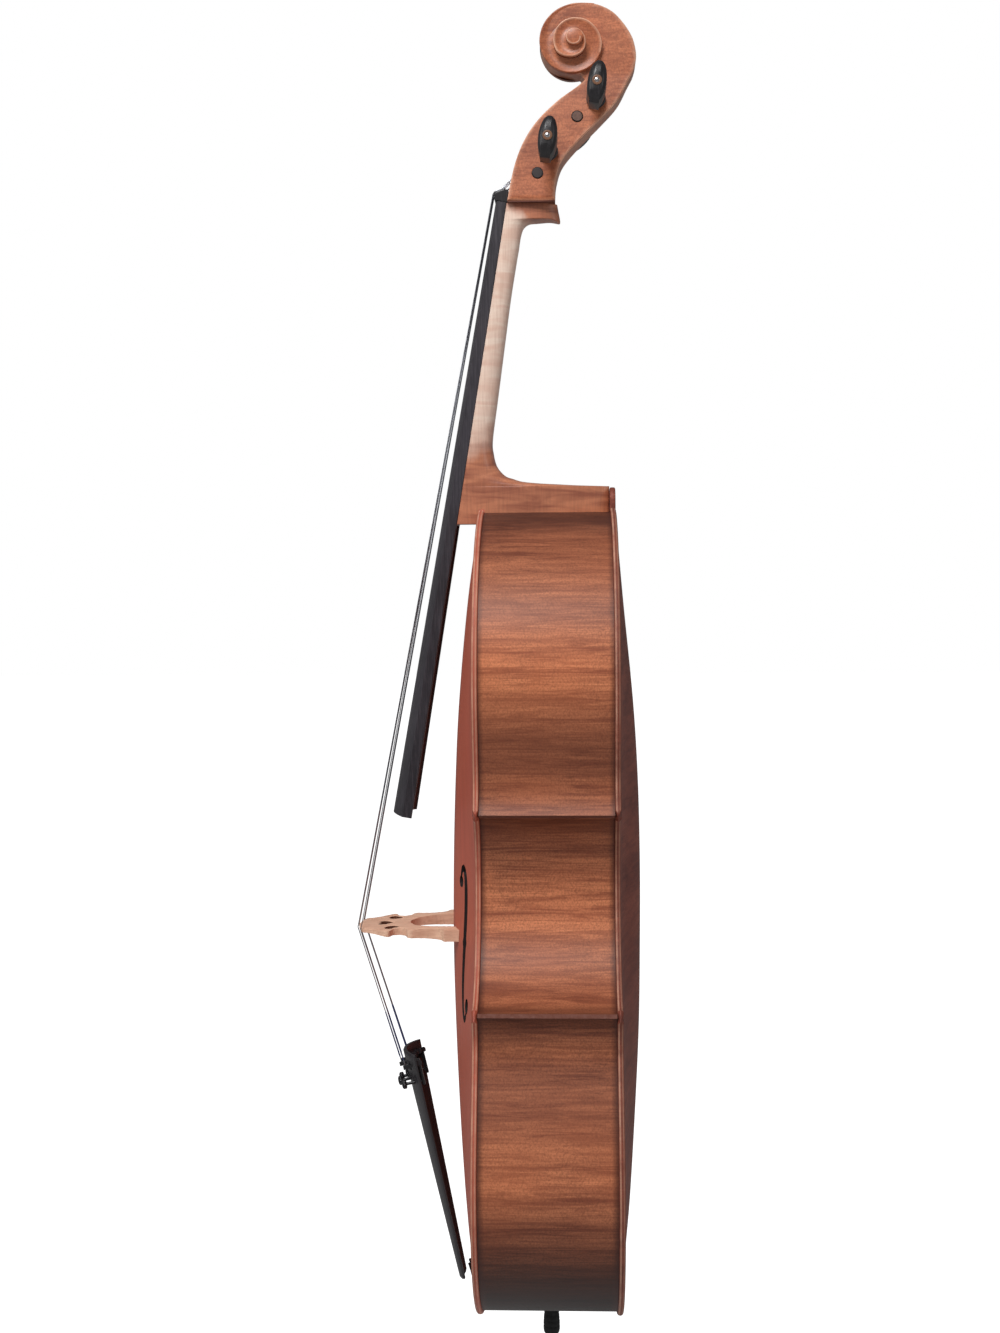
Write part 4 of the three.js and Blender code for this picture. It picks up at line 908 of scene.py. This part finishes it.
# ---------- fingerboard and nut
def board():
    rings = []
    shares = [0, 0.01, 0.1, 0.2, 0.3, 0.4, 0.49, 0.52, 0.523, 0.56, 0.65, 0.75, 0.85, 0.93, 0.99, 1.0]
    for share in shares:
        half = lerp(BOARD_NUT, BOARD_END, share) / 2
        height = lerp(ARCH_NUT, ARCH_END, share)
        scoop = 0 if share < 0.5225 else 5.8
        ring = [(-half + 5, -scoop * 0.2), (-half + 4.6, 0), (-half + 0.5, 0), (-half, -0.5)]
        s = np.linspace(-1, 1, 33)
        ring += [(q * (half - (0.25 if abs(q) > 0.99 else 0)), -BOARD_SIDE - height * (1 - q * q)) for q in s]
        ring += [(half, -0.5), (half - 0.5, 0), (half - 4.6, 0), (half - 5, -scoop * 0.2)]
        under = np.linspace(1, -1, 15)[1:-1]
        ring += [(q * (half - 5), -scoop * (1 - q**4)) for q in under]
        z = NUT_Z - share * BOARD_LENGTH
        tilt = [(x, board_under(z) + y, z - y * RAKE) for x, y in ring]
        rings.append(tilt)
    return loft(rings)


add("board", *board(), BOARD_MAT, node="fingerboard", smooth=32)
NUT_TOP = board_under(NUT_Z) - BOARD_SIDE - ARCH_NUT - 1.4


def nut_piece():
    lean = (board_under(NUT_Z) - NUT_TOP) * RAKE + 0.2
    profile = smooth_line([(NUT_TOP + 0.3, NUT_Z + 5.6), (NUT_TOP, NUT_Z + 8), (NUT_TOP + 1.6, NUT_Z + 9.8),
            (NUT_TOP + 7, NUT_Z + 12), (NUT_TOP + 12.6, NUT_Z + 12)], 22).tolist()
    profile = [(board_under(NUT_Z) + 0.4, NUT_Z + 0.2), (NUT_TOP + 1.1, NUT_Z + 0.2 + lean)] + profile \
        + [(-34.4, NUT_Z + 11.2)]
    rings = []
    for x in (-16, -15.6, -15, 15, 15.6, 16):
        ease = {16: 0.9, 15.6: 0.25, 15: 0}[abs(x)]
        rings.append([(x, y + ease * (1 if y < -40 else 0), z - ease * (0.6 if z > NUT_Z + 9 else 0))
                for y, z in profile])
    return loft(rings)


add("nut_block", *nut_piece(), EBONY, node="nut")

# ---------- pegs
def peg_pieces(name):
    y, up, hand, lean = PEGS[name]
    z = NUT_Z + up
    outer = float(head_outer(z))
    collar = outer + 2.5
    spot = (0, y, z), (hand, 0, 0)
    stem = lathe([(0, -outer - 1.5), (4.3, -outer - 1.5), (4.9, -outer - 1.0), (5.1, -outer + 2),
            (6.18, collar - 0.2), (8.2, collar), (8.8, collar + 0.6), (8.9, collar + 1.6),
            (8.0, collar + 2.2), (7.9, collar + 2.8), (8.3, collar + 3.3), (7.6, collar + 4.4),
            (6.0, collar + 6.5), (5.2, collar + 9), (5.0, collar + 12), (5.4, collar + 15),
            (5.2, collar + 19)], 48, *spot)
    stations = [(collar + 12, 4.4, 4.6), (collar + 14, 6.4, 5.8), (collar + 18, 9.8, 7.0),
            (collar + 23, 12.8, 7.9), (collar + 29, 15.6, 8.3), (collar + 36, 18.0, 8.5),
            (78, 18.6, 8.4), (82, 16.8, 7.8), (84.2, 13.8, 6.6), (85.4, 10.4, 5.2), (86, 7.2, 3.8)]
    turn = math.radians(lean)
    rings = []
    for x, tall, thick in smooth_line(stations, 44):
        ring = []
        for a in np.linspace(0, 2 * math.pi, 56, endpoint=False):
            q = tall * math.sin(a)
            edge = 4.42 if q < 0 else 1.8      # the blade's edge is broader at its foot
            side = math.cos(a)
            p = thick * abs(side)**0.92
            if abs(side) > 0.05:
                p = max(p, min(thick, edge))
            p = math.copysign(p, side)
            ring.append((hand * x, y + p * math.cos(turn) + q * math.sin(turn),
                    z + q * math.cos(turn) - p * math.sin(turn)))
        rings.append(ring)
    eye_ring = lathe([(3.2, 85.4), (4.3, 85.5), (4.3, 86.5), (3.9, 86.7), (3.3, 86.7), (3.2, 86.5)],
            40, *spot)
    cup = lathe([(0, 85.4), (3.25, 85.4), (3.25, 86.45), (0, 86.45)], 32, *spot)
    dot = lathe([(2.1, 85.6), (2.1, 86.7), (1.7, 87.05), (0, 87.15)], 32, *spot)
    rim = lathe([(4.35, outer + 0.6), (4.35, outer + 1.55), (0, outer + 1.6)], 32, (0, y, z), (-hand, 0, 0))
    return merge(stem, loft(rings), cup), eye_ring, dot, rim


for name in NAMES:
    wood, eye_ring, dot, end_grain = peg_pieces(name)
    add(f"peg_wood_{name}", *wood, EBONY, body=f"peg_{name}", node=f"peg_{name}", smooth=45)
    add(f"peg_eye_{name}", *eye_ring, RING_MAT, body=f"peg_{name}")
    add(f"peg_dot_{name}", *dot, SILVER, body=f"peg_{name}")
    add(f"peg_end_{name}", *end_grain, END_MATS[name], body=f"peg_{name}")

# ---------- bridge
CREST = -(case_half(BRIDGE_Z) + 26.7)
BRIDGE_TOP_Y = CREST - 91.0


def bridge_line(x):
    return BRIDGE_TOP_Y + x * x / 130 + x * 0.035


def bridge_piece():
    flank = smooth_line([(47.3, 1.4), (47.4, 5.4), (46.6, 6.8), (41.5, 9), (38, 15), (37, 25), (38.5, 33),
            (40, 37.5), (38.2, 41.3), (31.5, 43.5), (28.5, 49), (31, 55), (38, 57.6), (40.5, 60),
            (37.5, 65), (31.5, 72), (27.5, 79), (26.2, 84.2)], 120)
    xs = np.linspace(24.5, -24.5, 40)
    crown = np.stack([xs, CREST - bridge_line(xs) - 0.25], 1)
    for i in range(4):
        near = np.abs(xs - SHARE_X[i] * 47) < 0.9
        crown[near, 1] -= 0.5
    arch_line = smooth_line([(-30, 0.4), (-29.5, 4), (-28, 13), (-24, 24), (-16, 35.5), (0, 41.5), (16, 35.5),
            (24, 24), (28, 13), (29.5, 4), (30, 0.4)], 80)
    foot = np.stack([np.linspace(-47.1, -30.2, 16), np.full(16, 0.0)], 1)
    loop = np.concatenate([flank, crown, flank[::-1] * (-1, 1), foot, arch_line, foot[::-1] * (-1, 1)])
    kidney = smooth_line([(16, 56), (21, 51), (26.5, 56), (29, 61), (23, 64.5), (17, 61), (16, 56)], 40)[:-1]
    heart = smooth_line([(0, 58), (7.5, 66), (5, 72.5), (0, 69.5), (-5, 72.5), (-7.5, 66), (0, 58)], 40)[:-1]
    holes = [kidney, kidney[::-1] * (-1, 1), heart]
    inner = grid(-48, 48, 1, 90, 2.0)
    inner = inner[within(loop, inner)]
    inner = inner[distance_to(loop, inner) > 1.2]
    for hole in holes:
        inner = inner[~within(hole, inner) & (distance_to(hole, inner) > 0.9)]

    def keep(c):
        good = within(loop, c)
        for hole in holes:
            good &= ~within(hole, c)
        return good

    flat, faces = triangulate([loop] + holes, inner, keep)
    d = distance_to(loop, flat)
    for hole in holes:
        d = np.minimum(d, distance_to(hole, flat))
    half = np.interp(flat[:, 1], [8, 92], [5.9, 1.5]) - 0.5 * np.maximum(1 - d / 1.0, 0)
    sheets = []
    for sign in (1, -1):
        z = BRIDGE_Z + sign * half
        y = CREST - flat[:, 1]
        sole = -(case_half(z) + top_arch(flat[:, 0], z)) - 0.25
        y = np.where(flat[:, 1] < 1.3, sole, np.minimum(y, sole))
        sheets.append(np.stack([flat[:, 0], y, z], 1))
    near_hole = np.min([distance_to(hole, flat) for hole in holes], axis=0) < 0.05
    points, faces = slab(flat, faces, *sheets)
    walls = [1 if len(face) == 4 and near_hole[face[0] % len(flat)] else 0 for face in faces]
    return points, faces, walls


points, faces, walls = bridge_piece()
add("bridge_maple", points, faces, BRIDGE_MAT, node="bridge", smooth=38, wall_shade=(BRIDGE_HOLE_SHADE, walls))

# ---------- tailpiece and fine tuners
def tail_share(z):
    return (z - BASE - TAIL_LOW) / (TAIL_HIGH - TAIL_LOW)


def tail_surface(x, z):
    t = tail_share(z)
    return lerp(lerp(-89, -142, t), lerp(-84.5, -130, t), (x / (lerp(22, 58, t) / 2))**2)


LEAN = math.atan2(53, TAIL_HIGH - TAIL_LOW)
TUNER_Z = BASE + TAIL_HIGH - 13


def tuner_point(x, above, down):
    s, c = math.sin(LEAN), math.cos(LEAN)
    return np.array([x, tail_surface(x, TUNER_Z) - above * c + down * s, TUNER_Z - above * s - down * c])


def tail_body():
    rings = []
    ends = [0.0, 0.6, 1.6, 3.2]
    middle = [30, 60, 100, 150, 195, 220, 230]
    ups = [TAIL_LOW + e for e in ends] + middle + [TAIL_HIGH - e for e in ends[::-1]]
    for up in ups:
        z = BASE + up
        rim_gap = min(up - TAIL_LOW, TAIL_HIGH - up)
        ease = 1.0 * max(1 - rim_gap / 1.6, 0)
        narrow = 3.5 * max(1 - (up - TAIL_LOW) / 3.2, 0)**2
        half = lerp(22, 58, tail_share(z)) / 2 - narrow
        q = np.linspace(-1, 1, 37)
        outer = [(s * (half - ease * 0.4), tail_surface(s * half, z) + ease + 0.5 * abs(s)**30, z) for s in q]
        inner = [(s * (half - 2.8), tail_surface(s * (half - 2.8), z) + 4 - ease * 0.4, z) for s in q[::-1]]
        edge = [(half - ease * 0.4, tail_surface(half, z) + 2.2, z)]
        rings.append(outer + edge + inner + [(-half + ease * 0.4, tail_surface(half, z) + 2.2, z)])
    return loft(rings)


tail = add("tail_shell", *tail_body(), TAIL_MAT, node="tailpiece", smooth=35)
tools = []
for x in TAIL_X:
    low, high = TUNER_Z - 3.4, TUNER_Z + 5.4
    side = ((-165, low), (-100, low), (-100, high), (-165, high))
    box = [[(x + half, y, z) for y, z in side] for half in (-1.95, 1.95)]
    tools.append(cutter("slot", *loft(box)))
    a, b = tuner_point(x, 20, 16), tuner_point(x, -20, 16)
    tools.append(cutter("hole", *lathe([(1.85, 0), (1.85, 40)], 24, a, b - a)))
carve(tail, *tools)
KNOB = [
    (0, -7.2), (1.1, -7.2), (1.5, -6.8), (1.5, 7.2), (2.6, 7.3), (4.1, 7.6), (4.4, 8.0), (4.4, 10.4),
    (4.1, 10.9), (3.2, 11.4), (1.6, 11.6), (0, 11.65)]
for x, name in zip(TAIL_X, NAMES):
    lug = []
    for x0, x1 in ((x - 3.4, x - 1.9), (x + 1.9, x + 3.4)):
        rings = []
        for xx in (x0, x1):
            rings.append([tuner_point(xx, a, d) * (0, 1, 1) + (xx, 0, 0) for a, d in
                    ((-3, -5), (-9, -5.2), (-10.4, -4.2), (-10.4, -1), (-8.4, -0.2), (-3, 1))])
        lug.append(loft(rings))
    add(f"lugs_{name}", *merge(*lug), TAIL_MAT, smooth=30)
    top = tuner_point(x, 10, 16) - tuner_point(x, 0, 16)
    knob = lathe(KNOB, 96, tuner_point(x, 0, 16), top, ridges=24, ridge_depth=0.22, ridge_rows=(5, 6, 7, 8))
    add(f"tuner_knob_{name}", *knob, BLACK_METAL, body=f"tuner_screw_{name}", node=f"tuner_screw_{name}",
        smooth=50)
    rounded(f"tuner_lever_{name}", 0.35, BLACK_METAL, f"tuner_lever_{name}")

# ---------- strings
def string_path(i):
    name, radius = NAMES[i], RADII[i]
    y, up, hand, _ = PEGS[name]
    z = NUT_Z + up
    coil = 6.2 + radius + 0.25
    start = hand * min(float(head_outer(z)) - 6.5 - 2.2, 9)
    points = []
    steps = 84
    for k in range(steps + 1):
        turn = math.radians(135) + ((steps - k) / 36) * 2 * math.pi
        x = lerp(start - hand * 6.2, start, k / steps)
        points.append((x, y + coil * math.cos(turn), z + coil * math.sin(turn)))
    if name == "d":
        points.append((SHARE_X[i] * 22.4 * 1.2, 29.3 - 5.3, NUT_Z + 76.8 + 5.3))
    lift = radius + 0.25
    x = SHARE_X[i] * 22.4
    points.append((x, NUT_TOP + 7 - lift * 0.6, NUT_Z + 12.2 + lift * 0.8))
    points.append((x, NUT_TOP + 1.4 - lift, NUT_Z + 10.6))
    points.append((x, NUT_TOP - lift - 0.1, NUT_Z + 8.2))
    bx = SHARE_X[i] * 47
    top = bridge_line(bx) - lift - 0.35
    points.append((bx * 0.998, top + 0.5, BRIDGE_Z + 2.6))
    points += [(bx, top + sink, BRIDGE_Z + up) for sink, up in ((0, 0.6), (0.1, -0.8), (0.9, -3))]
    return points, tuner_point(TAIL_X[i], 4.2, -2.0 - radius * 0.2)


for i, name in enumerate(NAMES):
    path, end = string_path(i)
    radius = RADII[i]
    last = np.array(path[-1])
    silk_from = lerp(last, end, 0.62)
    path += [tuple(silk_from), tuple(end)]
    add(f"wire_{name}", *tube(path, radius, 12), STEEL, node=f"string_{name}", smooth=60)
    add(f"silk_{name}", *tube([silk_from, lerp(silk_from, end, 0.03), lerp(silk_from, end, 0.5),
            lerp(silk_from, end, 0.9)], [radius, radius + 0.22, radius + 0.22], 12), SILK)

# ---------- saddle, tail gut, endpin
def saddle_piece():
    face = case_half(BASE)
    profile = [(y - face, BASE + up) for y, up in (
        (5.2, 0), (-2.6, 0), (-4.4, 0.8), (-5.2, 2.6), (-5.1, 5), (-4.0, 8), (-2.2, 11), (-1, 12), (5.2, 12))]
    ends = ((18, 0.8), (20.6, 1.6), (21, 2.6))
    steps = [(-x, low) for x, low in ends[::-1]] + [(-11, 0), (11, 0)] + list(ends)
    rings = []
    for x, low in steps:
        rings.append([(x, y + (low if y < -face else 0), z) for y, z in profile])
    return loft(rings)


add("saddle_block", *saddle_piece(), EBONY, node="saddle", smooth=50)

reach = 13 + 1.2 + 0.25
level = BASE + OVERHANG - 1.2 - 0.2 - 1.2
crest = -case_half(BASE) - 5.2 - 1.2 - 0.25
arm = [(5, -79.5, BASE + 27.3), (5.4, -77.2, BASE + 20), (8, crest, BASE + 4.2), (8.6, crest + 0.2, BASE + 1),
       (9, crest + 1.6, BASE - 1.6), (9.6, crest + 5, BASE - 2), (12, -38, BASE - 0.8), (reach, -6, level),
       (reach, 0, level)]
round_plug = [(reach * math.cos(a), reach * math.sin(a), level) for a in np.linspace(0, math.pi, 22)[1:-1]]
gut = arm + round_plug + [(-x, y, z) for x, y, z in arm[::-1]]
add("gut_loop", *tube(gut, 1.2, 14), CORD_MAT, node="tail_gut", smooth=60)

tip = [
    (0, 0), (5, 0), (6.6, 0.9), (7.5, 2.4), (7.95, 5), (8, 8), (7.7, 8.6), (7.7, 9.4), (7.95, 10),
    (7.8, 13.6), (7.5, 14.2), (7.5, 15), (7.7, 15.6), (7.4, 19.5), (7.1, 20.1), (7.1, 20.9),
    (7.25, 21.5), (7, 25.4),
    (6.4, 26.4), (4.3, 26.45), (4.25, 9), (0, 9)]
add("rubber_tip", *lathe(tip, 64, (0, 0, 0), (0, 0, 1)), RUBBER, body="endpin", node="endpin_tip", smooth=45)
pin = [(0, 9.2), (3.9, 9.2), (4, 9.6), (4, BASE + 428.5), (3.2, BASE + 429.6), (0, BASE + 430)]
add("pin_rod", *lathe(pin, 40, (0, 0, 0), (0, 0, 1)), ROD_MAT, body="endpin", node="endpin_shaft")
screw = [
    (0, 4.3), (1.9, 4.3), (2.2, 4.7), (2.2, 13), (4.3, 13.4), (4.8, 14), (4.8, 19.6), (4.2, 20.6), (2, 21),
    (0, 21)]
add("clamp_screw", *lathe(screw, 96, (0, 0, BASE - 12.2), (-1, 0, 0), ridges=20, ridge_depth=0.25,
        ridge_rows=(5, 6)), ROD_MAT, body="thumbscrew", node="endpin_thumbscrew", smooth=50)
rounded("endpin_plug", 0.3, EBONY)

# ---------- inner pieces keep the CAD mesh
for name in list(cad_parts):
    if name.startswith(("lining", "corner_block", "upper_block", "lower_block", "bass_bar", "sound_post")):
        rounded(name, 0.5, BARE_MAT)
    if name.startswith("tuner_pin"):
        rounded(name, 0.15, ROD_MAT)

# ---------- stage, light and camera
floor_mesh = bpy.data.meshes.new("floor")
FLOOR = -0.362                   # just below the endpin drawn fully out
corners = ((-14, -14), (14, -14), (14, 14), (-14, 14))
floor_mesh.from_pydata([(x, y, FLOOR) for x, y in corners], [], [(0, 1, 2, 3)])
floor = put("floor", floor_mesh)
pale = Shader("floor_paper", roughness=0.9, specular=0.1)
paper = pale.mix(pale.ramp(pale.noise((3, 3, 3)), 0.3, 0.7), (0.55, 0.55, 0.55, 1), (0.57, 0.57, 0.57, 1))
pale.colour(paper)
pale.bsdf.inputs["Emission Color"].default_value = (1, 1, 1, 1)
seen = pale.node("ShaderNodeLightPath").outputs["Is Camera Ray"]
pale.feed(pale.bsdf.inputs["Emission Strength"], pale.times(seen, 0.95))
floor_mesh.materials.append(pale.material)

world = bpy.data.worlds.new("studio")
bpy.context.scene.world = world
world.use_nodes = True
tree = world.node_tree
light, output = tree.nodes["Background"], tree.nodes["World Output"]
sky, blend, path, soft = (tree.nodes.new(f"ShaderNode{kind}") for kind in
        ("Background", "MixShader", "LightPath", "MapRange"))
light.inputs["Color"].default_value = sky.inputs["Color"].default_value = (1, 1, 1, 1)
sky.inputs["Strength"].default_value = 1.0
soft.inputs["To Min"].default_value, soft.inputs["To Max"].default_value = 0.32, 0.16
for source, target in (
        (path.outputs["Is Glossy Ray"], soft.inputs["Value"]),
        (soft.outputs["Result"], light.inputs["Strength"]),
        (path.outputs["Is Camera Ray"], blend.inputs["Fac"]),
        (light.outputs[0], blend.inputs[1]),
        (sky.outputs[0], blend.inputs[2]),
        (blend.outputs[0], output.inputs["Surface"])):
    tree.links.new(source, target)


def lamp(name, where, aim, size, power):
    light = bpy.data.lights.new(name, "AREA")
    light.shape, light.energy = "RECTANGLE", power
    light.size, light.size_y = size
    obj = put(name, light)
    obj.location = where
    obj.rotation_euler = (Vector(aim) - Vector(where)).to_track_quat("-Z", "Y").to_euler()


lamp("key", (1.7, -0.5, 2.7), (0, 0, 0.7), (0.9, 0.9), 46)
lamp("belly_side", (0.7, -2.4, 1.7), (0, 0, 0.6), (0.7, 1.2), 12)
lamp("back_side", (1.3, 2.2, 1.2), (0, 0, 0.6), (0.3, 1.4), 5)

camera = bpy.data.cameras.new("camera")
camera.sensor_width, camera.lens = 36.0, 48.04
camera.clip_end = 60
eye = put("camera", camera)
yaw, tilt, roll = -0.040, 0.067, -0.007
forward = Vector((-math.cos(yaw) * math.cos(tilt), math.sin(yaw) * math.cos(tilt), -math.sin(tilt)))
right = forward.cross(Vector((0, 0, 1))).normalized()
up = right.cross(forward)
across = right * math.cos(roll) + up * math.sin(roll)
upward = up * math.cos(roll) - right * math.sin(roll)
turned = Matrix((across, upward, -forward)).transposed()
eye.matrix_world = Matrix.Translation((1.682, 0.0215, 0.76245)) @ turned.to_4x4()
bpy.context.scene.camera = eye
bpy.context.scene.view_settings.view_transform = "Standard"
